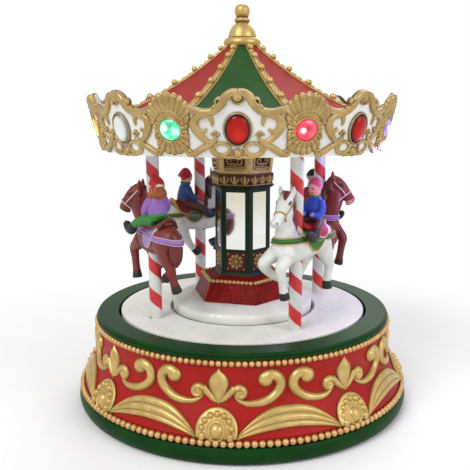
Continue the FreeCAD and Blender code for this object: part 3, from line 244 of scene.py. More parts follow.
# brushed-on paint: cloudy tone, fine brush grain in the bump, gloss that comes and goes
def paintedFinish(name, dark, light, gloss, shine=0.5, grain=0.0008):
    def vary(w):
        cloud = w.noise(0.022, 3.0)
        speck = w.noise(grain)
        tone = (cloud * 0.75 + speck * 0.25).between(0.3, 0.7)
        rough = gloss + (cloud - 0.5) * 0.16 + (speck - 0.5) * 0.06
        colour = tone.blend(dark, light)
        return {"Base Color": colour, "Roughness": rough, "Normal": speck.bump(0.35, 0.00004)}
    return finish(name, {"Specular IOR Level": shine}, vary)


# antique gold: metal paint darkened in the hollows and in patches by a brown antique wash with painted shade
# (the per-point darkening mark)
def goldFinish(name, dark, light, washAndShadeColour, metal=0.55, gloss=0.38):
    def vary(w):
        cloud = w.noise(0.006, 3.0)
        speck = w.noise(0.0006)
        # hollow: brown wash and painted shade in the hollows, with patches
        hollow = (w.mark("wash") + (cloud - 0.5) * 0.45).between(0.55, 1.0)
        tone = (cloud * 0.6 + speck * 0.4).between(0.3, 0.7).blend(dark, light)
        return {
            "Base Color": hollow.blend(tone, washAndShadeColour),
            "Metallic": metal * (1 - hollow * 0.7),
            "Roughness": gloss + hollow * 0.22 + (speck - 0.5) * 0.12,
            "Normal": (speck + cloud).bump(0.3, 0.00005),
        }
    return finish(name, {}, vary)


# painted shadow: a dark ring on the snow where the centre disc meets the turntable; its radius, fades and
# colour
seamShadow = {"radius": 0.0437, "near": 0.0006, "far": 0.0012, "tone": (0.06, 0.05, 0.04)}


# glitter: small flakes, each with its own tone and shine, over a grainy ground; a painted shadow darkens the
# disc's seam
def glitterFinish(name, dark, light, flake, gloss, grain, share, shine=0.4, seamShadowShare=0.0):
    def vary(w):
        cells = {"Vector": w.place(), "Scale": 1 / grain}
        pick = w.add("SeparateColor", {}, {0: w.add("TexVoronoi", {"feature": "F1"}, cells, "Color")}, 0)
        glint = pick.between(1 - share, 1 - share * 0.6)
        drift = w.noise(0.0016, 3.0)
        x, y = w.place().parts("XY")
        away = w.math("ABSOLUTE", (x * x + y * y) ** 0.5 - seamShadow["radius"], 0.0)
        seamShadowMask = 1 - away.between(seamShadow["near"], seamShadow["far"])
        ground = w.noise(0.012, 3.0).between(0.3, 0.7).blend(dark, light)
        return {
            "Base Color": glint.blend((seamShadowMask * seamShadowShare).blend(ground, seamShadow["tone"]), flake),
            "Roughness": gloss - glint * (gloss - 0.15),
            "Metallic": glint * 0.25,
            "Normal": (drift + pick * 0.4).bump(0.6, 0.00022),
        }
    return finish(name, {"Specular IOR Level": shine}, vary)


# silvered glass: nearly flat, with cloudy smears, and a painted reflection that turns duller, darker and warmer
# towards the top
def mirrorLook(w):
    smear = w.noise(0.006, 3.0)
    height = w.place().parts("Z")[0]
    # the height term is painted reflection: darker and warmer near the top
    tone = height.between(0.1, 0.124) * 0.7 + smear.between(0.3, 0.8) * 0.15
    colour = tone.blend((0.86, 0.87, 0.83), (0.66, 0.61, 0.46))
    return {"Base Color": colour, "Roughness": 0.03 + smear * 0.08}


dull = 0.16
# dark tone, light tone, gloss, shine and grain
paints = {
    "greenEnamel": ((0.003, 0.03, 0.004), (0.005, 0.05, 0.007), 0.4, 0.09),
    "columnGreen": ((0.005, 0.016, 0.006), (0.009, 0.027, 0.01), 0.4, dull),
    "roofGreen": ((0.015, 0.06, 0.012), (0.025, 0.09, 0.02), 0.58, dull),
    "redEnamel": ((0.3, 0.008, 0.005), (0.38, 0.013, 0.009), 0.46, dull),
    "roofRed": ((0.29, 0.02, 0.015), (0.37, 0.032, 0.025), 0.62, dull),
    "whiteResin": ((0.68, 0.68, 0.64), (0.79, 0.79, 0.75), 0.5),
    "maroonPaint": ((0.075, 0.01, 0.008), (0.13, 0.017, 0.013), 0.45, dull),
    "bronzeDark": ((0.06, 0.016, 0.008), (0.105, 0.03, 0.014), 0.5, dull),
    "blackRubber": ((0.012, 0.012, 0.012), (0.022, 0.022, 0.022), 0.75),
    "blackPlastic": ((0.014, 0.014, 0.015), (0.024, 0.024, 0.025), 0.45, 0.5, 0.0004),
    "paleNylon": ((0.62, 0.6, 0.54), (0.7, 0.68, 0.62), 0.4),
    "boardGreen": ((0.01, 0.09, 0.03), (0.016, 0.12, 0.042), 0.35),
    "cellWrap": ((0.02, 0.06, 0.16), (0.03, 0.08, 0.2), 0.3),
    "lampEpoxy": ((0.66, 0.68, 0.7), (0.74, 0.76, 0.78), 0.12),
}
# dark tone, light tone, colour of the brown wash and painted shade, share of metal and gloss
golds = {
    "goldPaint": ((0.45, 0.3, 0.09), (0.64, 0.46, 0.165), (0.1, 0.036, 0.01)),
    "goldBead": ((0.52, 0.3, 0.11), (0.68, 0.43, 0.18), (0.12, 0.04, 0.012)),
    # darker copy of the gold with painted shade, for the canopy and column under the roof
    "goldWorn": ((0.34, 0.22, 0.075), (0.53, 0.375, 0.15), (0.07, 0.028, 0.01)),
    "taupeGold": ((0.3, 0.21, 0.12), (0.4, 0.3, 0.19), (0.1, 0.05, 0.02)),
    "steelBright": ((0.5, 0.5, 0.5), (0.62, 0.62, 0.62), (0.2, 0.2, 0.2), 1.0, 0.3),
    "brassBright": ((0.6, 0.42, 0.16), (0.7, 0.5, 0.2), (0.2, 0.12, 0.04), 1.0, 0.28),
}
# dark ground, light ground, flake, gloss, grain, share of flakes, shine and strength of the painted seam shadow
glitters = {
    "snowGlitter": ((0.74, 0.73, 0.67), (0.82, 0.81, 0.75), (0.93, 0.94, 0.95), 0.75, 0.0005, 0.08, 0.4, 0.85),
    "redGlitter": ((0.15, 0.003, 0.003), (0.24, 0.006, 0.005), (0.5, 0.06, 0.05), 0.42, 0.0004, 0.05, 0.1),
}
coats = {"mirrorGlass": finish("mirrorGlass", {"Metallic": 1.0}, mirrorLook)}
for mixing, table in ((paintedFinish, paints), (goldFinish, golds), (glitterFinish, glitters)):
    coats.update({name: mixing(name, *row) for name, row in table.items()})
print("paints mixed:", len(coats))

dressing = {
    "redEnamel": "base_drum", "greenEnamel": "base_plinth base_rim",
    "goldBead": "lower_beads upper_beads plinth_beads",
    "blackPlastic": "bottom_cover chassis speaker battery_box battery_door switch_body switch_knob",
    "blackRubber": "rubber_feet", "steelBright": "cover_screws gear_motor idler_axle centre_post",
    "brassBright": "motor_pinion hub_bush", "paleNylon": "idler_gear drive_gear", "boardGreen": "sound_board",
    "cellWrap": "battery_cells", "snowGlitter": "turntable centre_disc", "redGlitter": "column_plinth",
    "columnGreen": "column_frame", "mirrorGlass": "column_mirrors", "maroonPaint": "column_panels",
    "goldWorn": "column_rosettes capital_leaves capital_cornice", "bronzeDark": "capital_frieze",
    "whiteResin": "ceiling_plate valance_panels", "lampEpoxy": "canopy_leds", "roofGreen": "roof_panels_green",
    "roofRed": "roof_panels_red", "goldPaint": "roof_ribs finial",
}
for coatName, nodeNames in dressing.items():
    for nodeName in nodeNames.split():
        mesh = nodes[nodeName].data
        mesh.materials.clear()
        mesh.materials.append(coats[coatName])
print("frame dressed")


# gold ornament that stands still, copied to the given bearings
def gild(name, surface, bearings, coatName, hides=()):
    makePiece(name, around(surface, bearings), coats[coatName], "base_body", hides)


# an ornament's edge goes this far below its ground, and a strip has this many points across
sunk = 0.5
stripSides = 9


# raised strip on a chart: rows are across, up, width, height; the crown over the width is 1 - |s| ** power
def strip(rows, chart, count, power=2.2, sides=stripSides, sink=sunk):
    rows = through(rows, count)
    step = unit(np.gradient(rows[:, :2], axis=0))
    across = np.stack([-step[:, 1], step[:, 0]], 1)
    s = np.linspace(-1, 1, sides)
    crown = 1 - np.abs(s) ** power
    flat = rows[:, None, :2] + across[:, None] * (s[None, :, None] * np.maximum(rows[:, None, 2:3], 0.1) / 2)
    lift = np.maximum(rows[:, 3:4], 0.05) * crown - sink * (np.abs(s) > 0.99)
    # edges marked dark: brown wash and painted shade where the strip meets its ground
    return capped(chart(flat[..., 0], flat[..., 1], lift), np.broadcast_to(1 - crown, lift.shape) * 1.0)


# closed oval strip round a centre, radii wide and tall, same crown as a strip
def ovalStrip(centre, wide, tall, width, height, chart, count=48, power=2.2, sink=sunk):
    turn = circle(count)[:, None]
    s = np.linspace(-1, 1, stripSides)
    crown = 1 - np.abs(s) ** power
    u = centre[0] + (wide + s * width / 2) * np.cos(turn)
    v = centre[1] + (tall + s * width / 2) * np.sin(turn)
    lift = np.broadcast_to(height * crown - sink * (np.abs(s) > 0.99), u.shape)
    # edges marked dark: brown wash and painted shade where the oval strip meets its ground
    return looped(chart(u, v, lift), np.broadcast_to(1 - crown, u.shape) * 1.0)


# half ball on a chart: rings shrink as the cosine while they rise as the sine
def dome(centre, radius, height, chart, sides=20, rings=7):
    rise = np.linspace(0, np.pi / 2 * 0.97, rings)
    rise = np.concatenate([[0], rise])[:, None]
    turn = circle(sides)
    lift = height * np.sin(rise) - sunk * (np.arange(rings + 1) == 0)[:, None]
    u = centre[0] + radius * np.cos(rise) * np.cos(turn)
    v = centre[1] + radius * np.cos(rise) * np.sin(turn)
    # darker towards the foot: brown wash and painted shade where the dome meets its ground
    wash = 1 - np.sin(rise) ** 0.5 + 0 * u
    return capped(chart(u, v, lift + 0 * u), wash)


# rows on the other side of the middle line
def mirroredRows(rows):
    return [(-row[0], *row[1:]) for row in rows]


# spiral rows: the radius shrinks evenly while the angle runs from one value to another
def spiral(centre, radii, angles, widths, heights, count):
    share = np.linspace(0, 1, count)
    radius = radii[0] + (radii[1] - radii[0]) * share
    angle = np.radians(angles[0] + (angles[1] - angles[0]) * share)
    u = centre[0] + radius * np.cos(angle)
    v = centre[1] + radius * np.sin(angle)
    width = widths[0] + (widths[1] - widths[0]) * share
    height = heights[0] + (heights[1] - heights[0]) * share
    return np.stack([u, v, width, height], 1).tolist()


drum = {
    "wall": 87.2, "foot": 96.6, "footTop": 13.83, "slope": 0.5317, "bendLow": 28.43, "bend": 14.0,
    "bendHigh": 35.0, "chart": 88.0,
}


# drum wall radius at a height: upright foot, straight flare, then a bend into the upright wall
def drumRadius(v):
    flare = drum["foot"] - drum["slope"] * (v - drum["footTop"])
    dip = np.clip(drum["bendHigh"] - v, 0, drum["bend"] * 0.99)
    bend = drum["wall"] + drum["bend"] - np.sqrt(drum["bend"] ** 2 - dip**2)
    return np.where(v < drum["footTop"], drum["foot"], np.where(v < drum["bendLow"], flare, bend))


# drum chart: u is run along the wall at the chart's radius, v is height, lift goes square out of the wall
def drumChart(u, v, lift):
    lean = (drumRadius(v + 0.05) - drumRadius(v - 0.05)) / 0.1
    out = 1 / np.sqrt(1 + lean**2)
    radius = drumRadius(v) + lift * out
    turn = u / drum["chart"]
    return np.stack([radius * np.sin(turn), -radius * np.cos(turn), v - lift * lean * out], -1)


relief = {
    "first": -7.7, "units": 8, "rosette": 10.0, "rosetteUp": 17.1, "cutLow": 13.6,
    "pearlSweep": (-22, 202, 9), "pearlRing": 6.9, "pearl": (1.85, 3.2), "ball": (3.6, 3.6),
    "ballRim": (4.3, 4.3, 1.2, 2.0),
    "disc": [(1.0, -0.5, 1.0), (0.99, 0.7, 0.9), (0.95, 1.15, 0.4), (0.85, 1.35, 0.2), (0.6, 1.45, 0.55),
             (0.3, 1.5, 0.6)],
    "petal": [(0, 28.0, 0.5, 0.5), (0, 30.4, 4.2, 1.8), (0, 33.6, 8.2, 2.5), (0, 37.4, 11.2, 2.9),
              (0, 40.6, 10.6, 2.7), (0, 43.2, 6.8, 2.1), (0, 45.0, 2.6, 1.3), (0, 46.3, 0.5, 0.5)],
    "arm": [(0.5, 28.9, 1.0, 0.7), (2.8, 30.6, 3.2, 1.6), (5.6, 33.4, 4.2, 2.0), (8.0, 36.0, 4.4, 2.2)],
    "scroll": [(7.6, 33.4, 0.6, 0.5), (9.2, 30.8, 1.8, 1.0), (13.0, 28.9, 2.8, 1.4), (17.6, 28.6, 3.7, 1.8),
               (22.6, 29.4, 4.5, 2.1), (27.0, 31.4, 5.1, 2.3), (30.2, 34.5, 5.6, 2.5), (31.3, 38.2, 5.8, 2.6),
               (29.8, 41.6, 6.0, 2.7), (26.6, 43.0, 6.4, 2.8), (23.8, 41.8, 7.0, 2.8), (22.8, 39.6, 6.0, 2.2)],
    "curl": (10.6, 33.6), "curlTurns": ((3.2, 0.5), (140, -330), (4.2, 2.0), (2.2, 2.4), 12),
    "curlBall": (2.6, 2.2), "scrollEnd": (23.6, 41.0), "scrollBall": (3.9, 3.1),
    "leafTip": 25.2, "leafFoot": 13.4, "leafEnd": 2.4, "leafTop": 27.6, "leafLow": 17.4,
}


# palm leaf: across s it runs from a low arc to a high arc, and three lobes |sin(3 pi s)| make its ridges
def palmLeaf(centre):
    t = np.linspace(-1, 1, 49)[:, None]
    s = np.linspace(0, 1, 22)
    bow = 1 - np.abs(t) ** 2.4
    foot, end = relief["leafFoot"], relief["leafFoot"] + relief["leafEnd"]
    low = foot + (relief["leafLow"] - foot) * (1 - np.abs(t) ** 1.8)
    high = end + (relief["leafTop"] - end) * bow
    sway = s ** 1.15
    v = low + (high - low) * sway
    u = centre + relief["leafTip"] * t * (1 - 0.04 * sway)
    lobes = np.abs(np.sin(3 * np.pi * s)) ** 0.55
    body = np.sin(np.pi * s) ** 0.4
    lift = (1.0 + 1.6 * bow**0.5) * (0.55 * body + 0.45 * lobes)
    edge = (s < 0.001) | (s > 0.999)
    lift = np.where(edge, -0.5, lift)
    # darkening mark between the lobes and along the edges: brown wash and painted shade
    wash = np.where(edge, 1.0, 0.95 - 0.9 * lobes) * np.ones_like(t)
    return capped(drumChart(u + 0 * v, v, lift), wash)


# pearl rosette: a low disc (rows of share, height and darkening, a brown wash with painted shade) cut off
# straight at the bottom, a ball at its centre, pearls on a ring
def pearlRosette():
    turn = circle(72)
    share, height, wash = (np.array(relief["disc"])[:, k:k + 1] for k in range(3))
    up = relief["rosetteUp"]
    straight = (up - relief["cutLow"]) / np.maximum(-np.sin(turn), 0.01)
    reach = np.minimum(relief["rosette"], np.where(np.sin(turn) < -0.01, straight, 99))
    disc = drumChart(share * reach * np.cos(turn), up + share * reach * np.sin(turn), height + 0 * turn)
    parts = [capped(disc, wash + 0 * turn)]
    parts.append(dome((0, up), *relief["ball"], drumChart))
    parts.append(ovalStrip((0, up), *relief["ballRim"], drumChart))
    angles = np.radians(np.linspace(*relief["pearlSweep"]))
    ring = relief["pearlRing"]
    spots = [(ring * math.cos(a), up + ring * math.sin(a)) for a in angles]
    parts += [dome(spot, *relief["pearl"], drumChart, 14, 6) for spot in spots]
    return joined(parts)


# one unit of the drum: a petal between two curled arms, a scroll each way, a palm leaf and a rosette
def drumOrnament():
    parts = [strip(relief["petal"], drumChart, 40, 1.6, 15)]
    curl = spiral(relief["curl"], *relief["curlTurns"])
    for flip in (list, mirroredRows):
        parts.append(strip(flip(relief["arm"] + curl), drumChart, 60, 2.6))
        parts.append(strip(flip(relief["scroll"]), drumChart, 64, 2.5, 13))
        for place, ball in (("curl", "curlBall"), ("scrollEnd", "scrollBall")):
            parts.append(dome(flip([relief[place]])[0], *relief[ball], drumChart))
    parts += [palmLeaf(math.radians(22.5) * drum["chart"]), pearlRosette()]
    return joined(parts)


unitBearings = relief["first"] + 45.0 * np.arange(relief["units"])
gild("drumOrnament", drumOrnament(), unitBearings, "goldPaint", ["drum_relief"])
print("drum ornament set")

beadRows = {
    "lowerBeads": {"node": "lower_beads", "ring": 97.8, "height": 11.6, "radius": 1.9, "count": 160},
    "upperBeads": {"node": "upper_beads", "ring": 88.1, "height": 49.2, "radius": 1.6, "count": 168},
}


# ball of few faces on a ring: four rings of nine points, radius times cosine and sine of the rise
def bead(ring, height, radius):
    rise = np.radians([-62.0, -20.0, 20.0, 62.0])[:, None]
    turn = circle(9)
    x = radius * np.cos(rise) * np.cos(turn)
    y = radius * np.cos(rise) * np.sin(turn) - ring
    z = height + radius * np.sin(rise) + 0 * turn
    # the half towards the drum is marked dark: brown wash and painted shade against the wall
    inner = (np.hypot(x, y) < ring - 0.1 * radius) * 0.9
    return capped(np.stack([x, y, z], -1), inner)


for rowName, row in beadRows.items():
    pearlBearings = relief["first"] + 360.0 / row["count"] * np.arange(row["count"])
    gild(rowName, bead(row["ring"], row["height"], row["radius"]), pearlBearings, "goldBead", [row["node"]])
print("beads strung")

valance = {
    "bottom": 149.8, "radius": 80.3, "tilt": 14.5, "turn": -1.5, "lamp": 13.8, "power": 5.0,
    "sink": 1.6, "knobHigh": 1.7, "trefoilHigh": 1.3, "eyelet": (7.4, 4.3), "eyeletRing": (3.9, 2.9, 2.0, 1.2),
    "bezel": (6.1, 7.9, 1.4, 1.4), "stone": (5.35, 7.15, 2.6, 0.35), "lens": (5.15, 5.15, 1.8, 1.2),
    "footCurl": ((23.0, 2.7), (1.7, 0.3), (-130, 280), (2.4, 1.4), (1.3, 1.3), 9),
    "crest": [(0, 31.4, 3.2, 1.5), (3, 30.8, 3.7, 1.6), (5.3, 28.8, 4.2, 1.7), (6.7, 26.2, 4.5, 1.7),
              (8.6, 23.9, 4.2, 1.6), (11.2, 22.3, 4, 1.5), (15, 21.8, 3.7, 1.4), (19, 22.6, 3.7, 1.4),
              (23, 24.2, 4, 1.4)],
    "leaf": [(11.6, 20.6, 1.8, 1.1), (14.4, 20.6, 2.9, 1.4), (17.6, 19.8, 4, 1.6), (19.6, 17.6, 4.8, 1.7),
             (19.3, 14.4, 4.8, 1.7), (17.4, 11.2, 4, 1.6), (15, 8.7, 3.4, 1.5), (12.4, 7.5, 2.9, 1.4),
             (10.4, 8.6, 2.5, 1.3), (9.6, 10.6, 1.8, 1)],
    "tip": [(18.6, 17.8, 4.2, 1.6), (20.8, 17.2, 2.9, 1.3), (23, 16.7, 0.7, 0.5)],
    "hook": [(18.4, 13.4, 2.5, 1.5), (16.6, 12.7, 2.6, 1.4), (14.9, 13.2, 2.2, 1.2),
             (14.1, 14.3, 1.3, 0.9)],
    "finger": [(12.2, 20.4, 2.9, 1.4), (11.3, 17.7, 2.2, 1.2), (11.4, 15.5, 1.1, 0.8)],
    "foot": [(10, 8.8, 2.1, 1.2), (12.6, 6.6, 3, 1.4), (16.4, 4.7, 3.6, 1.5), (19.8, 2.6, 3.6, 1.5),
             (21.8, 1.3, 3.2, 1.4)],
    "hem": [(0.8, 0.5, 2, 1.1), (4, 0.5, 2.1, 1.2), (8, 0.7, 2.1, 1.2), (11.6, 2.4, 2.1, 1.1),
            (12.6, 5.4, 1.8, 1)],
    "knobs": [(7.9, 27.0, 1.5, 1.3), (9.7, 23.9, 1.2, 1.1)],
    "bosses": [(29.0, (2.4, 1.8), (2.9, 2.9, 1.3, 1.5), 30), (2.0, (2.2, 1.7), (2.5, 2.2, 1.2, 1.3), 28)],
    "trefoil": [(8.9, 11.5, 0.95), (10.2, 12.4, 1.05), (11.5, 11.5, 0.95)],
}
sideBearings = valance["turn"] + 45.0 * np.arange(8)
cornerBearings = sideBearings + 22.5


# the valance leans out as a cone: u runs round it, v up its slope, lift square out of it
def valanceChart(u, v, lift):
    lean = math.radians(valance["tilt"])
    out = valance["radius"] + v * math.sin(lean) + lift * math.cos(lean)
    turn = u / valance["radius"]
    height = valance["bottom"] + v * math.cos(lean) - lift * math.sin(lean)
    return np.stack([out * np.sin(turn), -out * np.cos(turn), height], -1)


# one side of the valance: scrolls and leaves as crowned strips on both halves, with rings and half balls
def valanceOrnament():
    flat = valance["power"]
    parts = []
    curl = spiral(*valance["footCurl"])
    eyeAcross, eyeUp = valance["eyelet"]
    for flip in (list, mirroredRows):
        for name in ("crest", "leaf", "tip", "hook", "finger", "hem"):
            parts.append(strip(flip(valance[name]), valanceChart, 44, flat, sink=valance["sink"]))
        parts.append(strip(flip(valance["foot"] + curl), valanceChart, 44, flat))
    for side in (1, -1):
        for across, up, radius, width in valance["knobs"]:
            ring = (radius, radius, width, valance["knobHigh"])
            parts.append(ovalStrip((side * across, up), *ring, valanceChart, 20, sink=valance["sink"]))
        for across, up, radius in valance["trefoil"]:
            parts.append(dome((side * across, up), radius, valance["trefoilHigh"], valanceChart, 12, 5))
        parts.append(ovalStrip((side * eyeAcross, eyeUp), *valance["eyeletRing"], valanceChart, 36, flat))
    for up, ball, ring, count in valance["bosses"]:
        parts.append(dome((0, up), *ball, valanceChart))
        parts.append(ovalStrip((0, up), *ring, valanceChart, count))
    return joined(parts)


gild("valanceOrnament", valanceOrnament(), sideBearings, "goldWorn", ["valance_scrolls"])
bezel = ovalStrip((0, valance["lamp"]), *valance["bezel"], valanceChart, 60)
gild("jewelBezels", bezel, sideBearings, "taupeGold")

shell = {
    "reach": [(0, 17.6), (20, 17.2), (38, 15.4), (54, 13.0), (66, 10.8), (78, 9.4), (92, 8.8), (110, 9.2),
              (125, 10.6), (138, 12.6), (146, 13.0), (160, 12.7), (180, 12.9)],
    "hole": 5.2, "flutes": 30, "petals": 22, "fanHalf": 60.0, "ring": (5.85, 5.85, 1.5, 2.2),
    "arch": (8.2, 9.2, 1.2, 2.1), "archSweep": (-66, 66, 11), "curl": ((2.2, 0.4), (1.4, 1.0), (1.8, 1.8)),
    "curls": [((6.6, 10.2), (70, -330)), ((6.6, 4.8), (120, 480))],
}


# shell round the lamp: along each direction it runs from the lens to its reach; fan flutes |cos| rise above the
# lens and two rows of petals, |cos| times |sin|, lie round the rest
def cornerShell():
    angle = np.linspace(-np.pi, np.pi, 320, endpoint=False)
    table = np.array(shell["reach"], float)
    reach = np.interp(np.abs(np.degrees(angle)), table[:, 0], table[:, 1])
    fan = 1 / (1 + np.exp((np.abs(np.degrees(angle)) - shell["fanHalf"]) / 3.5))
    flute = np.abs(np.cos(shell["flutes"] / 2 * angle)) ** 0.75
    petal = np.abs(np.cos(shell["petals"] / 2 * angle)) ** 0.75
    ridge = fan * flute + (1 - fan) * petal
    reach = reach * (0.955 + 0.06 * ridge)
    s = np.linspace(0, 1, 20)[:, None]
    upper = 1.0 + 0.5 * s + flute * (0.3 + 0.8 * s) - 1.2 * np.clip((s - 0.86) / 0.14, 0, 1) ** 2
    petalRow = np.sin(np.pi * ((2.0 * s) % 1.0)) ** 0.5
    lower = 1.0 + petal * petalRow * 0.9 - 0.4 * s - 0.5 * np.clip((s - 0.8) / 0.2, 0, 1) ** 2
    step = 0.4 * (1 / (1 + np.exp(-(s - 0.34) * 60)))
    lift = fan * (upper - step) + (1 - fan) * lower
    far = shell["hole"] + s * (reach - shell["hole"])
    u, v = far * np.sin(angle), valance["lamp"] + far * np.cos(angle)
    back = -0.8 + 0 * angle
    u, v, lift = np.vstack([u, u[-1]]), np.vstack([v, v[-1]]), np.vstack([lift, back])
    # darkening mark between the flutes, between the petal rows, towards the rim and on the back: brown wash and
    # painted shade
    wash = np.vstack([(1 - ridge) * (0.55 + 0.4 * s) + (1 - fan) * (1 - petalRow) * 0.45, 0.5 + 0 * angle])
    body = capped(valanceChart(u, v, lift), wash)
    lamp = valance["lamp"]
    ring = ovalStrip((0, lamp), *shell["ring"], valanceChart)
    wide, tall, width, height = shell["arch"]
    sweep = np.radians(np.linspace(*shell["archSweep"]))
    arch = [(wide * math.sin(a), lamp + tall * math.cos(a), width, height) for a in sweep]
    curls = []
    radii, widths, heights = shell["curl"]
    for flip in (list, mirroredRows):
        for middle, angles in shell["curls"]:
            curl = spiral(middle, radii, angles, widths, heights, 10)
            curls.append(strip(flip(curl), valanceChart, 30, sides=7, sink=1.0))
    return joined([body, ring, strip(arch, valanceChart, 30, sides=7)] + curls)


gild("cornerShells", cornerShell(), cornerBearings, "goldWorn", ["corner_shells"])
print("valance carved")


# domed glass on the valance: the height is the square root of 1 - r squared, and its UV map is its flat view
def cabochon(wide, tall, height, edge):
    share = np.sin(np.linspace(np.pi / 2, 0.06, 14))[:, None]
    turn = circle(44)
    u = wide * share * np.cos(turn)
    v = tall * share * np.sin(turn)
    lift = edge + height * np.sqrt(1 - share**2) + 0 * turn
    u, v, lift = np.vstack([u[:1], u]), np.vstack([v[:1], v]), np.vstack([-0.4 + 0 * turn, lift])
    flat = np.stack([u / wide, v / tall], -1).reshape(-1, 2)
    return capped(valanceChart(u, valance["lamp"] + v, lift)), np.vstack([flat, [[0, -1], [0, 0]]])


# how far a UV point lies from a spot on the flat view
def spotReach(w, x, y):
    run = w.add("UVMap", {"uv_map": "run"}, {})
    return w.add("VectorMath", {"operation": "DISTANCE"}, {0: run, 1: (x, y, 0)}, "Value")


# foil-backed stone: painted shade at the rim, bright body, a paler pool of painted light low down,
# sharp gloss and a faint painted glow, though it is no lamp
def gemFinish(name, rim, body, paintedLightPool, glow):
    def vary(w):
        reach = spotReach(w, 0, 0)
        # low marks the pool of painted light low in the stone; reach near 1 gives the painted shade at the rim
        low = 1 - spotReach(w, 0.1, -0.35).between(0.1, 0.8)
        vein = w.noise(0.0035)
        tone = (low * 0.7 + (vein - 0.5) * 0.5).blend(body, paintedLightPool)
        colour = reach.between(0.72, 1.0).blend(tone, rim)
        return {"Base Color": colour, "Emission Color": colour, "Roughness": 0.08 + vein * 0.06}
    return finish(name, {"Coat Weight": 0.18, "Specular IOR Level": 0.15, "Emission Strength": glow}, vary)


# lit lens: a white hot spot beside the lamp, a shadowed pocket, coloured light over the rest
def lensFinish(name, deep, bright, hot, hotSpot):
    def vary(w):
        spot = 1 - spotReach(w, *hotSpot).between(0.1, 0.36)
        pocket = 1 - spotReach(w, hotSpot[0] + 0.45, hotSpot[1] + 0.25).between(0.15, 0.5)
        swirl = w.noise(0.004).between(0.35, 0.65)
        colour = spot.blend((pocket * 0.8).blend(swirl.blend(bright, hot), deep), (1.0, 1.0, 1.0))
        return {"Base Color": colour, "Emission Color": colour, "Roughness": 0.06 + swirl * 0.06}
    return finish(name, {"Coat Weight": 1.0, "Coat Roughness": 0.03, "Emission Strength": 0.45}, vary)


# each stone's finish: rim, body and pool colours, then the strength of its painted glow
stones = {
    "jewelsRed": {
        "node": "jewels_red", "slot": "red_gem", "sides": [0, 1, 2, 4, 6],
        "coat": gemFinish("gemRed", (0.06, 0.002, 0.001), (0.33, 0.003, 0.001), (0.62, 0.02, 0.006), 0.1),
    },
    "jewelsClear": {
        "node": "jewels_clear", "slot": "clear_gem", "sides": [3, 5, 7],
        "coat": gemFinish("gemClear", (0.3, 0.31, 0.27), (0.66, 0.7, 0.66), (0.8, 0.83, 0.8), 0.02),
    },
}
stone, stoneMap = cabochon(*valance["stone"])
for stoneName, row in stones.items():
    gems = around(stone, sideBearings[row["sides"]])
    gemMap = np.tile(stoneMap, (len(row["sides"]), 1))
    makePiece(stoneName, gems, row["coat"], "base_body", [row["node"]], uv=gemMap)

# first bearing, then deep, bright and hot colour and the hot spot's place
lenses = {
    "red": (21.0, (0.3, 0.0, 0.01), (0.8, 0.012, 0.05), (0.85, 0.06, 0.12), (-0.42, 0.02)),
    "blue": (66.0, (0.05, 0.02, 0.3), (0.2, 0.1, 0.8), (0.4, 0.28, 0.9), (-0.3, 0.1)),
    "yellow": (111.0, (0.35, 0.15, 0.0), (0.85, 0.5, 0.03), (0.9, 0.65, 0.1), (-0.3, 0.1)),
    "green": (156.0, (0.0, 0.3, 0.1), (0.0, 0.72, 0.3), (0.45, 0.9, 0.66), (-0.32, 0.28)),
}
lens, lensMap = cabochon(*valance["lens"])
for colourName, (firstBearing, *tones) in lenses.items():
    pair = around(lens, [firstBearing, firstBearing + 180])
    lit = lensFinish("lens" + colourName.capitalize(), *tones)
    lensName = "lens_" + colourName
    hides = ["lamp_lenses_" + colourName]
    makePiece(lensName, pair, lit, "base_body", hides, uv=np.tile(lensMap, (2, 1)))
print("stones and lenses set")

roof = {"top": (9.0, 208.9), "eave": (89.6, 163.9), "sag": 4.7, "ribEnd": 0.89, "ribWide": (1.6, 3.2),
        "lumps": 22, "balls": (0.05, 0.135, 0.262, 0.413, 0.59, 0.785), "ball": (1.35, 2.1), "ballUp": 1.3}


# point on the roof's corner line at a share t of its run: the chord less the sag times 4 t (1 - t); beside the
# line the roof falls away by tan 22.5
def roofPoint(t, beside, lift):
    run = np.array(roof["eave"]) - np.array(roof["top"])
    square = np.array([run[1], -run[0]]) / np.hypot(*run)
    dip = roof["sag"] * 4 * t * (1 - t)
    radius = roof["top"][0] + run[0] * t + square[0] * dip - square[0] * lift
    height = roof["top"][1] + run[1] * t + square[1] * dip - square[1] * lift
    return np.stack([beside + 0 * radius, -(radius - np.tan(np.pi / 8) * np.abs(beside)), height], -1)


# rib: a thin cord along each edge, a groove inside it and a row of lumps |sin| along the middle
def roofRib():
    t = np.linspace(0.0, roof["ribEnd"], 220)[:, None]
    s = np.array([-1.0, -1.0, -0.92, -0.8, -0.66, -0.48, -0.24, 0.0, 0.24, 0.48, 0.66, 0.8, 0.92, 1.0, 1.0])
    flat = np.array([-1.2, 0.2, 0.65, 0.6, 0.15, 0.2, 0.3, 0.35, 0.3, 0.2, 0.15, 0.6, 0.65, 0.2, -1.2])
    crown = np.where(np.abs(s) < 0.6, np.cos(s * np.pi / 1.3), 0.0)
    lump = np.abs(np.sin(np.pi * roof["lumps"] * t ** 0.8)) ** 0.7
    half = roof["ribWide"][0] + (roof["ribWide"][1] - roof["ribWide"][0]) * t**0.7
    lift = flat + 0.85 * crown * lump
    # darkening mark in the grooves, at the edges and between the lumps: brown wash and painted shade
    groove = np.array([1, 1, 0.2, 0.3, 1, 0.9, 0.75, 0.7, 0.75, 0.9, 1, 0.3, 0.2, 1, 1])
    wash = groove - 0.7 * crown * lump
    parts = [capped(roofPoint(t + 0 * s, half * s, lift), wash)]
    for place in roof["balls"]:
        middle = roofPoint(np.array(place), np.array(0.0), np.array(roof["ballUp"]))
        parts.append(ballAt(middle, roof["ball"][0] + (roof["ball"][1] - roof["ball"][0]) * place**0.5))
    return joined(parts)


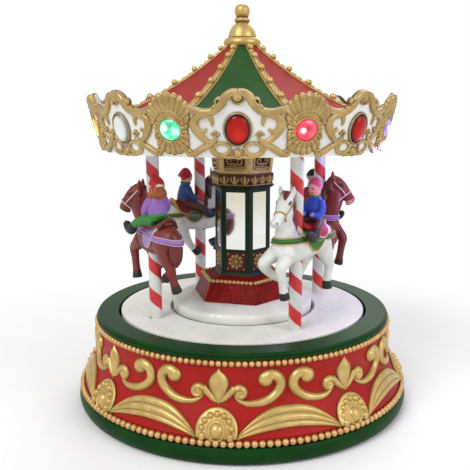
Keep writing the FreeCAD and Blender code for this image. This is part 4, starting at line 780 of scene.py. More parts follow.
# ball: rings whose radius goes as the cosine and height as the sine of the rise
def ballAt(middle, radius):
    rise = np.radians(np.linspace(-84, 84, 9))[:, None]
    turn = circle(18)
    ring = np.stack([np.cos(rise) * np.cos(turn), np.cos(rise) * np.sin(turn), np.sin(rise) + 0 * turn], -1)
    return capped(np.asarray(middle) + radius * ring)


gild("roofRibs", roofRib(), cornerBearings, "goldPaint", ["roof_ribs"])

# radius, height and darkening (brown wash and painted shade in the necks) from the foot of the flange to the
# top of the knob
finialRows = [
    (8.8, 208.0, 1.0), (9.9, 208.3, 0.7), (10.6, 209.5, 0.2), (10.75, 210.6, 0.0), (10.3, 211.8, 0.0),
    (9.3, 212.7, 0.3), (8.4, 213.0, 1.0), (8.0, 213.15, 1.0), (8.05, 213.5, 0.6), (7.95, 214.2, 0.1),
    (7.65, 215.6, 0.0), (6.95, 217.4, 0.0), (5.9, 219.2, 0.0), (4.7, 220.5, 0.1), (4.0, 221.1, 0.5),
    (3.8, 221.5, 1.0), (3.9, 221.9, 1.0), (4.35, 222.2, 0.7), (4.6, 222.9, 0.1), (4.4, 223.5, 0.1),
    (3.9, 223.9, 0.5), (3.5, 224.3, 1.0), (3.45, 224.8, 1.0), (3.65, 225.3, 0.7), (4.05, 226.2, 0.3),
    (4.3, 227.4, 0.1), (4.3, 228.6, 0.0), (4.05, 229.7, 0.0), (3.45, 230.7, 0.0), (2.5, 231.4, 0.0),
    (1.2, 231.72, 0.0), (0.2, 231.78, 0.0),
]


# turned work: the rows go round the upright axis
def turned(rows, count, sides):
    rows = through(rows, count)
    turn = circle(sides)
    radius, height, wash = (rows[:, k:k + 1] for k in range(3))
    rings = np.stack([radius * np.cos(turn), radius * np.sin(turn), height + 0 * turn], -1)
    return capped(rings, wash + 0 * turn)


gild("finialTurned", turned(finialRows, 140, 72), [0], "goldPaint", ["finial"])
print("roof ribs laid")

column = {
    "faces": -15.5, "apothem": 14.0, "rosetteUp": 83.8, "frieze": (128.8, 15.85, 135.8, 16.71),
    "cornice": (135.8, 15.59, 150.5, 17.23), "leafUp": 132.1, "leafStep": 6.2, "listel": (9.2, 129.5),
    "panelUp": 143.6, "panelHalf": (6.6, 4.6), "fieldHalf": (6.1, 4.1), "recess": 1.0, "petalRing": 3.5,
    "ball": (1.4, 1.6), "ballRim": (2.0, 2.0, 1.0, 1.1), "petal": (1.25, 1.4), "stud": (0.8, 0.9),
    "studAt": (4.8, 4.4), "bar": (1.3, 0.9),
}
faceBearings = column["faces"] + 60.0 * np.arange(6)


# flat face of the column, u along it and v its height; its distance out runs straight between two heights
def faceChart(lowUp, lowOut, highUp, highOut):
    def chart(u, v, lift):
        return np.stack([u, -(lowOut + (highOut - lowOut) * (v - lowUp) / (highUp - lowUp) + lift), v], -1)
    return chart


# acanthus leaf of three blades on a chart
def friezeLeaf(middle, up, chart):
    upright = [(0, -2.6, 1.3, 0.7), (0, -0.4, 1.9, 1.0), (0, 1.4, 2.1, 1.0), (0, 3.0, 0.4, 0.4)]
    bent = [(0, -1.8, 1.0, 0.6), (1.3, -0.8, 1.3, 0.8), (2.3, 0.9, 1.3, 0.8), (1.5, 1.7, 0.8, 0.6)]
    leaves = []
    for blade, count in ((upright, 18), (bent, 16), (mirroredRows(bent), 16)):
        rows = [(middle + row[0], up + row[1], *row[2:]) for row in blade]
        leaves.append(strip(rows, chart, count, sides=7))
    return leaves


# one gold panel of the cornice: a frame of four bars and two scrolls that meet in the middle
def cornicePanel(wide, tall, up, chart):
    parts = []
    for side in (1, -1):
        upright = [(side * wide, up + tall * k, *column["bar"]) for k in (-1, 0, 1)]
        level = [(wide * k, up + side * tall, *column["bar"]) for k in (-1, 0, 1)]
        angles = (-140, 250) if side > 0 else (-40, -430)
        curl = spiral((side * 2.8, up), (2.4, 0.4), angles, (1.3, 0.9), (0.9, 0.9), 10)
        for rows, count in ((upright, 8), (level, 8), ([(0, up - 3.2, 1.0, 0.6)] + curl, 34)):
            parts.append(strip(rows, chart, count, sides=7))
    return parts


# one face of the column: a rosette of half balls, three leaves over a fillet on the frieze, a cornice panel
def columnOrnament():
    flat = faceChart(70, column["apothem"], 90, column["apothem"])
    up, ring = column["rosetteUp"], column["petalRing"]
    wide, tall = column["studAt"]
    parts = [dome((0, up), *column["ball"], flat, 14, 5), ovalStrip((0, up), *column["ballRim"], flat, 24)]
    spots = [(ring * math.cos(a), up + ring * math.sin(a)) for a in np.radians(np.arange(0, 360, 40))]
    parts += [dome(spot, *column["petal"], flat, 12, 5) for spot in spots]
    studs = [(x * wide, up + y * tall) for x in (-1, 1) for y in (-1, 1)]
    parts += [dome(spot, *column["stud"], flat, 10, 4) for spot in studs]
    frieze = faceChart(*column["frieze"])
    for step in (-1, 0, 1):
        parts += friezeLeaf(step * column["leafStep"], column["leafUp"], frieze)
    half, height = column["listel"]
    parts.append(strip([(half * k, height, 1.0, 0.8) for k in (-1, 0, 1)], frieze, 8, sides=7))
    cornice = faceChart(*column["cornice"])
    return joined(parts + cornicePanel(*column["panelHalf"], column["panelUp"], cornice))


# painted field inside a cornice panel, set back by the depth of the frame's own recess
def corniceField():
    lowUp, lowOut, highUp, highOut = column["cornice"]
    chart = faceChart(lowUp, lowOut - column["recess"], highUp, highOut - column["recess"])
    wide, tall = column["fieldHalf"]
    return strip([(wide * k, column["panelUp"], 2 * tall, 0.35) for k in (-1, 0, 1)], chart, 8, 16)


columnHides = ["column_rosettes", "capital_leaves"]
gild("columnOrnament", columnOrnament(), faceBearings, "goldWorn", columnHides)
fields = around(corniceField(), faceBearings)
makePiece("corniceFields", fields, coats["maroonPaint"], "base_body", ())
print("column ornament set")

pole = {
    "ring": 57.5, "first": 30.0, "radius": 3.6, "heights": (51.8, 54.35, 148.9, 149.6, 149.9), "rows": 40,
    "sides": 36, "pitch": 18.0, "red": 0.45, "phase": (0.0, 0.0, 0.0, -0.23),
}


# painted helix: the UV map's turn plus its run, less the whole turns, tells red from white
def poleLook(w):
    turn, rise = w.add("UVMap", {"uv_map": "run"}, {}).parts("XY")
    grain = w.noise(0.0012)
    cloud = w.noise(0.012, 3.0)
    patch = cloud.between(0.3, 0.7)
    phase = w.math("FRACT", turn + rise + (grain - 0.5) * 0.02, 0.0)
    red = phase.between(0.0, 0.015) * (1 - phase.between(pole["red"], pole["red"] + 0.015))
    white = patch.blend((0.6, 0.6, 0.57), (0.7, 0.7, 0.67))
    stripe = patch.blend((0.5, 0.014, 0.014), (0.6, 0.024, 0.022))
    return {
        "Base Color": red.blend(white, stripe),
        "Roughness": 0.36 + cloud * 0.12,
        "Normal": (grain + red).bump(0.25, 0.00004),
    }


stripedPole = finish("stripedPole", {"Coat Weight": 0.2, "Coat Roughness": 0.2}, poleLook)


# place of a pole on the deck
def poleFoot(number):
    bearing = math.radians(pole["first"] + 90 * number)
    return bearing, np.array([pole["ring"] * math.sin(bearing), -pole["ring"] * math.cos(bearing), 0])


# pole: rings of one radius up its height; every corner's UV is its turn and its height over the pitch
def makePoles():
    low, deck, neck, collar, high = pole["heights"]
    z = np.concatenate([[low], np.linspace(deck, neck, pole["rows"]), [collar, high]])[:, None]
    sides = pole["sides"]
    turn = circle(sides)
    x, y = (pole["radius"] * part + 0 * z for part in (np.cos(turn), np.sin(turn)))
    points, faces, marks = capped(np.stack([x, y, z + 0 * turn], -1))
    near = np.arange(sides) / sides + 0 * z[:-1]
    far = near + 1 / sides
    under, over = (part / pole["pitch"] + 0 * near for part in (z[:-1], z[1:]))
    corners = [np.stack(pair, -1) for pair in ((near, under), (far, under), (far, over), (near, over))]
    flat = np.stack(corners, -2).reshape(-1, 4, 2)
    if not (faces[0][0] == [0, 1, sides + 1, sides]).all():
        flat = flat[:, ::-1]
    runs = np.vstack([flat.reshape(-1, 2), np.zeros((6 * sides, 2))])
    for number, phase in enumerate(pole["phase"]):
        stick = points + poleFoot(number)[1], faces, marks
        hides = () if number else ["poles"]
        name = "pole_" + str(number + 1)
        makePiece(name, stick, stripedPole, "turntable_body", hides, uv=runs + [0, phase])


makePoles()
print("poles painted")


# colour written as screen values 0-255, turned to the light values that shaders use
def tint(red, green, blue):
    share = np.array([red, green, blue]) / 255
    return np.where(share < 0.04045, share / 12.92, ((share + 0.055) / 1.055) ** 2.4)


# limb: rows are forward, left, height, half tall, half wide; each ring, square to the path, is its centre plus
# half tall times the cosine and half wide times the sine
def limbRings(rows, count=28, sides=20):
    rows = through(rows, count)
    tallHalf, wideHalf = (np.maximum(rows[:, k, None, None], 0.2) for k in (3, 4))
    along = unit(np.gradient(rows[:, :3], axis=0))
    wide = unit(np.array([0, 1.0, 0]) - along * along[:, 1:2])
    tall = np.cross(along, wide)
    turn = circle(sides)[None, :, None]
    ring = tall[:, None] * np.cos(turn) * tallHalf + wide[:, None] * np.sin(turn) * wideHalf
    return rows[:, None, :3] + ring


# a sculpt is a list of limbs, each with its colour; they grow together on a fine voxel grid and are smoothed,
# and every point takes the colour of the limb whose axis is nearest, measured in that limb's own radii
def sculpt(limbs, voxel, passes):
    points, faces = joined([capped(limbRings(rows)) for rows, colour in limbs])[:2]
    mesh = bpy.data.meshes.new("clay")
    mesh.from_pydata((points * mm).tolist(), [], [corner for face in faces for corner in face.tolist()])
    block = bpy.data.objects.new("clay", mesh)
    bpy.context.scene.collection.objects.link(block)
    grow = block.modifiers.new("grow", "REMESH")
    grow.mode = "VOXEL"
    grow.voxel_size = voxel * mm
    ease = block.modifiers.new("ease", "SMOOTH")
    ease.factor = 0.5
    ease.iterations = passes
    bpy.context.view_layer.update()
    done = bpy.data.meshes.new_from_object(block.evaluated_get(bpy.context.evaluated_depsgraph_get()))
    skin = np.zeros(len(done.vertices) * 3, np.float32)
    done.vertices.foreach_get("co", skin)
    quads = np.zeros(len(done.loops), np.int32)
    done.loops.foreach_get("vertex_index", quads)
    skin = skin.reshape(-1, 3) / mm
    bpy.data.objects.remove(block)
    bpy.data.meshes.remove(mesh)
    bpy.data.meshes.remove(done)
    best, paint = np.full(len(skin), 1e9), np.zeros((len(skin), 3))
    for rows, colour in limbs:
        axis = through(rows, 24)
        size = np.maximum(axis[:, 3:5].mean(1), 0.3)
        near = (np.linalg.norm(skin[:, None] - axis[None, :, :3], axis=2) / size).min(1)
        paint = np.where((near < best)[:, None], colour, paint)
        best = np.minimum(near, best)
    return (skin.astype(float), [quads.reshape(-1, 4)], np.zeros(len(skin))), paint


horse = {
    "barrel": [(-28.0, 0, 50.4, 1.4, 1.2), (-26.4, 0, 50.0, 4.6, 4.4), (-22.0, 0, 49.2, 7.3, 6.9),
               (-16.0, 0, 48.2, 8.2, 7.7), (-9.0, 0, 46.6, 7.9, 7.3), (-2.0, 0, 45.9, 7.9, 7.3),
               (5.0, 0, 46.2, 8.4, 7.2), (11.0, 0, 47.3, 7.8, 6.4), (15.4, 0, 48.4, 5.4, 4.6),
               (17.8, 0, 49.0, 1.6, 1.4)],
    "neck": [(5.4, 0, 47.5, 8.0, 5.2), (9.6, 0, 54.0, 7.4, 4.6), (12.2, 0, 61.0, 5.8, 3.9),
             (12.6, 0, 67.6, 4.9, 3.5), (11.8, 0, 73.4, 3.2, 3.0)],
    "head": [(9.4, 0, 73.2, 2.4, 2.8), (12.5, 0, 72.4, 4.2, 4.0), (15.6, 0, 69.8, 4.3, 3.8),
             (18.7, 0, 66.5, 3.4, 3.1), (21.3, 0, 63.7, 2.9, 2.8), (23.1, 0, 61.7, 2.7, 2.7),
             (24.0, 0, 60.7, 1.5, 1.6)],
    "jaw": [(11.2, 0, 70.0, 2.0, 2.2), (13.5, 0, 68.4, 3.2, 3.2), (16.2, 0, 66.8, 2.6, 2.6),
            (20.1, 0, 62.8, 1.6, 1.9)],
    "muzzle": [(21.3, 0, 63.1, 2.4, 2.6), (23.2, 0, 61.4, 2.9, 2.9), (24.1, 0, 60.5, 1.6, 1.8)],
    "ear": [(11.0, 2.5, 74.0, 1.5, 1.5), (10.6, 3.3, 76.9, 1.3, 1.4), (10.5, 3.9, 79.6, 0.4, 0.45)],
    "foreLeft": [(10.0, 3.6, 45.0, 5.6, 4.0), (14.6, 4.4, 41.6, 4.1, 3.5), (18.8, 4.8, 38.4, 3.1, 2.9),
                 (18.0, 4.8, 33.4, 2.4, 2.3), (16.8, 4.8, 27.8, 2.3, 2.2), (16.1, 4.8, 24.8, 2.5, 2.4)],
    "foreLeftHoof": [(16.1, 4.8, 24.8, 2.5, 2.4), (15.6, 4.8, 22.7, 2.9, 2.8), (15.3, 4.8, 21.1, 3.0, 2.9)],
    "foreRight": [(10.0, -3.6, 45.0, 5.6, 4.0), (16.0, -4.4, 42.4, 4.2, 3.5), (21.4, -4.8, 39.4, 3.1, 2.9),
                  (17.4, -4.8, 35.0, 2.5, 2.3), (12.4, -4.8, 31.8, 2.3, 2.2), (9.2, -4.8, 30.2, 2.4, 2.3)],
    "foreRightHoof": [(9.2, -4.8, 30.2, 2.4, 2.3), (6.9, -4.8, 29.2, 2.9, 2.8), (5.3, -4.8, 28.4, 2.9, 2.8)],
    "hindBack": [(-19.0, 3.4, 46.4, 6.6, 4.6), (-21.0, 4.4, 40.0, 5.0, 3.9), (-23.8, 4.9, 33.4, 3.0, 2.8),
                 (-22.8, 5.0, 28.2, 2.3, 2.2), (-22.4, 5.0, 24.4, 2.5, 2.4)],
    "hindBackHoof": [(-22.4, 5.0, 24.0, 2.5, 2.4), (-22.5, 5.0, 21.8, 2.9, 2.8), (-22.6, 5.0, 19.6, 3.0, 2.9)],
    "hindFore": [(-18.0, -3.4, 45.6, 6.4, 4.6), (-15.6, -4.4, 39.4, 4.8, 3.8), (-12.6, -4.9, 33.4, 3.0, 2.8),
                 (-10.0, -5.0, 29.0, 2.3, 2.2), (-7.2, -5.0, 26.0, 2.4, 2.3)],
    "hindForeHoof": [(-7.2, -5.0, 26.0, 2.5, 2.4), (-5.4, -5.0, 24.4, 2.9, 2.8), (-3.8, -5.0, 23.0, 2.9, 2.8)],
    "tail": [(-25.0, 0, 53.0, 2.2, 2.0), (-29.0, 0, 51.6, 2.6, 2.4), (-31.2, 0, 46.4, 3.2, 2.8),
             (-31.4, 0, 40.6, 2.8, 2.4), (-29.6, 0, 35.6, 0.7, 0.7)],
    "tailLock": [(-27.4, 1.0, 51.8, 1.4, 1.2), (-29.6, 2.2, 47.0, 1.9, 1.5), (-29.4, 2.2, 41.0, 1.6, 1.3),
                 (-27.0, 1.2, 36.8, 0.5, 0.5)],
    "eye": [(17.2, 3.1, 71.0, 0.7, 0.55), (16.1, 3.5, 71.7, 1.0, 0.65), (15.0, 3.8, 72.2, 0.55, 0.45)],
    "nostril": [(24.7, 1.3, 62.7, 0.5, 0.4), (24.7, 1.7, 62.1, 0.5, 0.4), (24.4, 1.9, 61.5, 0.4, 0.4)],
    "neckRoot": (6.0, 50.0), "neckRise": 18.0, "turnFrom": -2.0, "turnOver": 4.0, "hip": 46.4,
    "legLength": 26.8,
}


# turns points to the left about the root of the neck, more the higher they are, as far as the barrel's front
def looking(points, turn):
    forward, left, height = points.T
    start, foot = horse["neckRoot"]
    upward = np.clip((height - foot) / horse["neckRise"], 0, 1)
    share = upward * np.clip((forward - horse["turnFrom"]) / horse["turnOver"], 0, 1)
    lean = np.radians(turn) * share
    ahead = forward - start
    onward = start + ahead * np.cos(lean) - left * np.sin(lean)
    return np.stack([onward, ahead * np.sin(lean) + left * np.cos(lean), height], -1)


# rows on the figure's other side
def flipped(rows):
    return [(row[0], -row[1], *row[2:]) for row in rows]


# leg that leans across: the lower a row lies below the hip, the further it goes to the right
def slanted(rows, slant):
    step = slant / horse["legLength"]
    return [(row[0], row[1] - step * (horse["hip"] - row[2]), *row[2:]) for row in rows]


mane = {
    "crest": [(10.2, 76.2), (7.8, 73.4), (6.6, 69.4), (5.6, 65.2), (4.4, 61.2), (2.8, 57.6)],
    "thick": 1.75, "fall": 6.4,
    "forelocks": [
        [(9.2, 0, 75.4, 1.5, 2.3), (12.4, 0.5, 75.8, 1.4, 2.4), (15.8, 0.9, 74.0, 1.2, 1.8),
         (18.2, 1.0, 71.4, 0.4, 0.5)],
        [(10.0, -0.8, 75.4, 1.2, 1.4), (13.2, -1.5, 75.2, 1.2, 1.2), (16.2, -1.9, 72.8, 0.4, 0.4)],
    ],
}


# locks of hair: each leaves the crest and falls back and to one side, thick in the middle
def maneLocks(colour):
    locks = []
    thick, fall = mane["thick"], mane["fall"]
    for number, (forward, height) in enumerate(mane["crest"]):
        side = 1 if number % 2 else -1
        locks.append([
            (forward + 1.0, 0.4 * side, height, thick, thick),
            (forward - 1.2, 1.6 * side, height - fall * 0.4, thick * 1.15, thick),
            (forward - 1.0, 2.9 * side, height - fall, thick * 0.7, thick * 0.6),
            (forward + 0.4, 3.3 * side, height - fall * 1.35, 0.4, 0.4),
        ])
        locks.append([
            (forward + 1.2, -0.6 * side, height - 0.6, thick, thick),
            (forward + 0.2, -2.4 * side, height - fall * 0.5, thick, thick * 0.8),
            (forward + 1.0, -3.4 * side, height - fall * 0.95, 0.4, 0.4),
        ])
    return [(rows, colour) for rows in locks + mane["forelocks"]]


# a horse's limbs with their colours
def horseLimbs(look, tone):
    coat, hair, hoof = tone["coat"], tone["hair"], tone["hoof"]
    turn = flipped if look["hindLeft"] else list
    trunk = ("barrel", "neck", "head", "jaw", "ear", "foreLeft", "foreRight")
    limbs = [(horse[name], coat) for name in trunk]
    limbs += [(flipped(horse["ear"]), coat), (horse["muzzle"], tone["muzzle"])]
    back, backHoof = (slanted(horse[name], look["slant"]) for name in ("hindBack", "hindBackHoof"))
    limbs += [(turn(back), coat), (turn(horse["hindFore"]), coat)]
    limbs += [(horse[name], hoof) for name in ("foreLeftHoof", "foreRightHoof")]
    limbs += [(turn(backHoof), hoof), (turn(horse["hindForeHoof"]), hoof)]
    limbs += [(horse["tail"], hair), (horse["tailLock"], hair), (flipped(horse["tailLock"]), hair)]
    for side in (list, flipped):
        limbs += [(side(horse[part]), tone[part]) for part in ("eye", "nostril")]
    return limbs + maneLocks(hair)


rider = {
    "hips": [(-14.4, 0, 56.4, 3.2, 4.6), (-13.4, 0, 58.0, 4.8, 5.8), (-12.8, 0, 60.2, 4.6, 5.4)],
    "torso": [(-12.9, 0, 58.6, 4.6, 5.3), (-12.7, 0, 62.0, 4.7, 5.4), (-12.2, 0, 66.4, 4.1, 4.9),
              (-11.8, 0, 70.0, 3.0, 3.8), (-11.6, 0, 72.0, 1.7, 1.9)],
    "scarf": [(-11.5, 2.6, 71.4, 1.2, 1.3), (-9.0, 0, 71.2, 1.2, 1.3), (-11.5, -2.6, 71.4, 1.2, 1.3),
              (-13.9, 0, 71.6, 1.2, 1.3), (-11.5, 2.6, 71.4, 1.2, 1.3)],
    "head": [(-11.3, 0, 71.0, 1.6, 1.8), (-11.1, 0, 72.5, 3.2, 3.3), (-10.9, 0, 74.7, 3.9, 3.9),
             (-11.0, 0, 76.9, 3.3, 3.4), (-11.1, 0, 78.2, 1.2, 1.3)],
    "nose": [(-7.4, 0, 74.6, 0.5, 0.5), (-6.9, 0, 74.3, 0.65, 0.65), (-6.8, 0, 74.0, 0.45, 0.45)],
    "eye": [(-7.8, 1.45, 75.7, 0.35, 0.35), (-7.55, 1.45, 75.3, 0.45, 0.4), (-7.6, 1.45, 74.9, 0.35, 0.35)],
    "mouth": [(-7.7, 1.0, 73.1, 0.22, 0.26), (-7.3, 0, 72.9, 0.26, 0.3), (-7.7, -1.0, 73.1, 0.22, 0.26)],
    "hat": [(-11.8, 0, 75.7, 3.9, 4.0), (-11.9, 0, 77.1, 4.3, 4.4), (-12.2, 0, 79.1, 3.5, 3.6),
            (-12.8, 0, 80.4, 1.9, 2.0), (-13.1, 0, 80.9, 0.5, 0.5)],
    "brim": [(-11.6, 4.1, 75.9, 0.95, 0.95), (-7.7, 0, 76.6, 0.95, 0.95), (-11.6, -4.1, 75.9, 0.95, 0.95),
             (-15.9, 0, 76.4, 0.95, 0.95), (-11.6, 4.1, 75.9, 0.95, 0.95)],
    "arm": [(-11.9, 4.2, 68.8, 2.2, 2.1), (-11.0, 6.2, 64.6, 2.2, 2.1), (-8.6, 6.0, 61.5, 2.0, 1.9),
            (-5.6, 4.2, 61.1, 1.7, 1.7)],
    "hand": [(-5.6, 4.1, 61.1, 1.5, 1.5), (-4.6, 3.3, 61.8, 1.6, 1.5), (-4.2, 2.8, 62.5, 1.0, 1.0)],
    "thigh": [(-12.6, 3.0, 57.4, 3.3, 3.0), (-7.6, 6.8, 56.6, 2.8, 2.6), (-3.0, 9.2, 54.6, 2.4, 2.3),
              (-1.0, 9.9, 52.6, 2.2, 2.1)],
    "boot": [(-1.4, 9.9, 53.2, 2.6, 2.5), (0.4, 10.3, 50.8, 2.8, 2.6), (3.4, 10.7, 51.2, 2.7, 2.5),
             (6.4, 11.0, 53.4, 2.2, 2.1), (7.6, 11.1, 54.6, 0.9, 0.9)],
    "hairFall": [(-13.4, 0, 75.8, 2.0, 3.2), (-14.9, 0, 73.2, 1.9, 3.6), (-15.4, 0, 71.0, 1.6, 4.1),
                 (-15.1, 0, 69.2, 0.6, 2.4)],
    "hairLock": [(-12.4, 3.1, 74.2, 1.3, 1.3), (-13.2, 4.0, 71.2, 1.5, 1.5), (-12.8, 4.3, 68.8, 0.6, 0.6)],
    "single": {"hips": "hips", "torso": "jacket", "head": "skin", "nose": "skin", "hat": "hat",
               "brim": "brim", "mouth": "lips"},
    "paired": {"arm": "jacket", "hand": "hands", "thigh": "legs", "boot": "boots", "eye": "eyes"},
}


# a rider's limbs with their colours; only some have long hair or a scarf
def riderLimbs(tone):
    limbs = [(rider[part], tone[colour]) for part, colour in rider["single"].items()]
    for side in (list, flipped):
        limbs += [(side(rider[part]), tone[colour]) for part, colour in rider["paired"].items()]
    if "riderHair" in tone:
        locks = (rider["hairFall"], rider["hairLock"], flipped(rider["hairLock"]))
        limbs += [(rows, tone["riderHair"]) for rows in locks]
    if "scarf" in tone:
        limbs.append((rider["scarf"], tone["scarf"]))
    return limbs


# strap round a sculpt: the skin points near a plane are seen from a middle point, the furthest in each
# direction is kept and smoothed, and a flat band with the crown 1 - |s| ** 4 is carried along that loop
def strap(skin, middle, normal, reach, width, height, count=96):
    normal = unit(np.asarray(normal, float))
    first = unit(np.cross([0, 1.0, 0], normal))
    second = np.cross(normal, first)
    away = skin - np.asarray(middle, float)
    near = (np.abs(away @ normal) < harness["slab"]) & (np.linalg.norm(away, axis=1) < reach)
    x, y = away[near] @ first, away[near] @ second
    bins = ((np.arctan2(y, x) / (2 * np.pi)) % 1 * count).astype(int) % count
    far = np.zeros(count)
    np.maximum.at(far, bins, np.hypot(x, y))
    known = far > 0
    far = np.interp(np.arange(count), np.arange(count)[known], far[known], period=count)
    for _ in range(3):
        far = np.maximum(far, (np.roll(far, 1) + far + np.roll(far, -1)) / 3)
    turn = (np.arange(count)[:, None] + 0.5) / count * 2 * np.pi
    ray = np.cos(turn) * first + np.sin(turn) * second
    s = np.linspace(-1, 1, stripSides)
    lift = height * (1 - np.abs(s) ** 4) - sunk * (np.abs(s) > 0.99)
    out = ray[:, None] * (far[:, None, None] + lift[None, :, None])
    return looped(middle + out + normal * (s[None, :, None] * width / 2))


barrelAxis = through(horse["barrel"], 200)


# cloth on the barrel: forward and the angle from the top make the grid; past the widest line it hangs down
def saddleCloth(low, high, drop, grow):
    t = np.linspace(0, 1, 44)[:, None]
    s = np.linspace(-1, 1, 61)
    forward = low + (high - low) * t + 0 * s
    rows = [np.interp(forward, barrelAxis[:, 0], barrelAxis[:, k]) for k in (2, 3, 4)]
    hang = np.radians(drop) * (0.5 + 0.5 * np.sin(np.pi * t) ** 0.55) * s
    bent = np.clip(hang, -np.pi / 2, np.pi / 2)
    below = np.abs(hang - bent) * rows[1]
    layers = []
    for g in (grow, harness["clothUnder"]):
        height = rows[0] + (rows[1] + g) * np.cos(bent) - below
        layers.append(np.stack([forward, (rows[2] + g) * np.sin(bent), height], -1))
    rings = np.concatenate([layers[0], layers[1][:, ::-1]], 1)
    edge = np.minimum(np.minimum(t, 1 - t) * (high - low), (1 - np.abs(s)) * harness["clothHalf"])
    return capped(rings), np.append(np.concatenate([edge, edge[:, ::-1]], 1).ravel(), [0, 0])


# places on the horse: each strap is its middle, normal, reach, width and height; a cloth is its ends and lift
harness = {
    "band": ((-5, 0, 50.6), (-0.04, 0, 1), 30, 2.3, 0.7), "edgeStep": 1.3, "edgeWide": 0.55, "edgeHigh": 0.9,
    "noseband": ((19.5, 0, 65.3), (0.68, 0, -0.73), 5.5, 0.9, 0.5),
    "rein": [(19.3, 3.1, 65.6), (15.6, 4.1, 69.4), (12.4, 4.1, 72.6), (10.6, 2.9, 74.6)], "reinThick": 0.3,
    "slab": 0.8, "clothUnder": -0.3, "clothHalf": 16,
    "cloth": (-16.0, -1.0), "clothLift": 0.8, "clothRim": 1.0, "flapLift": 1.5, "flapRim": 0.9,
    "seat": [(-20.6, 0, 58.4, 1.0, 3.4), (-19.0, 0, 57.6, 2.0, 4.8), (-14.0, 0, 55.6, 2.2, 5.8),
             (-8.0, 0, 55.0, 2.2, 5.6), (-5.4, 0, 57.2, 2.0, 3.0), (-4.6, 0, 58.8, 0.9, 1.2)],
    "cantle": [(-19.4, 5.2, 55.0, 0.8, 0.8), (-20.4, 3.2, 58.6, 1.0, 1.0), (-20.8, 0, 60.0, 1.0, 1.0),
               (-20.4, -3.2, 58.6, 1.0, 1.0), (-19.4, -5.2, 55.0, 0.8, 0.8)],
}


# straps, reins, blanket, saddle flap and saddle of one horse, with a colour for every point
def makeTack(skin, look, tone):
    middle, normal, reach = harness["band"][:3]
    edge = (normal, reach, harness["edgeWide"], harness["edgeHigh"])
    bands = [(strap(skin, *harness["band"]), tone["band"])]
    for side in (1, -1):
        beside = (*middle[:2], middle[2] + side * harness["edgeStep"])
        bands.append((strap(skin, beside, *edge), tone["edging"]))
    bands.append((strap(skin, *harness["noseband"], 40), tone["noseband"]))
    thick = harness["reinThick"]
    for side in (1, -1):
        rein = [(x, side * y, z, thick, thick) for x, y, z in harness["rein"]]
        bands.append((capped(limbRings(rein, 24, 8)), tone["noseband"]))
    for part, colour in (("seat", "saddle"), ("cantle", "trim")):
        bands.append((capped(limbRings(harness[part])), tone[colour]))
    tints = [np.tile(colour, (len(surface[0]), 1)) for surface, colour in bands]
    cloth, rim = saddleCloth(*harness["cloth"], look["drop"], harness["clothLift"])
    flap, flapRim = saddleCloth(*look["flap"], harness["flapLift"])
    tints.append(np.where((rim < harness["clothRim"])[:, None], tone["edging"], tone["cloth"]))
    tints.append(np.where((flapRim < harness["flapRim"])[:, None], tone["trim"], tone["saddle"]))
    return joined([surface for surface, colour in bands] + [cloth, flap]), np.vstack(tints)


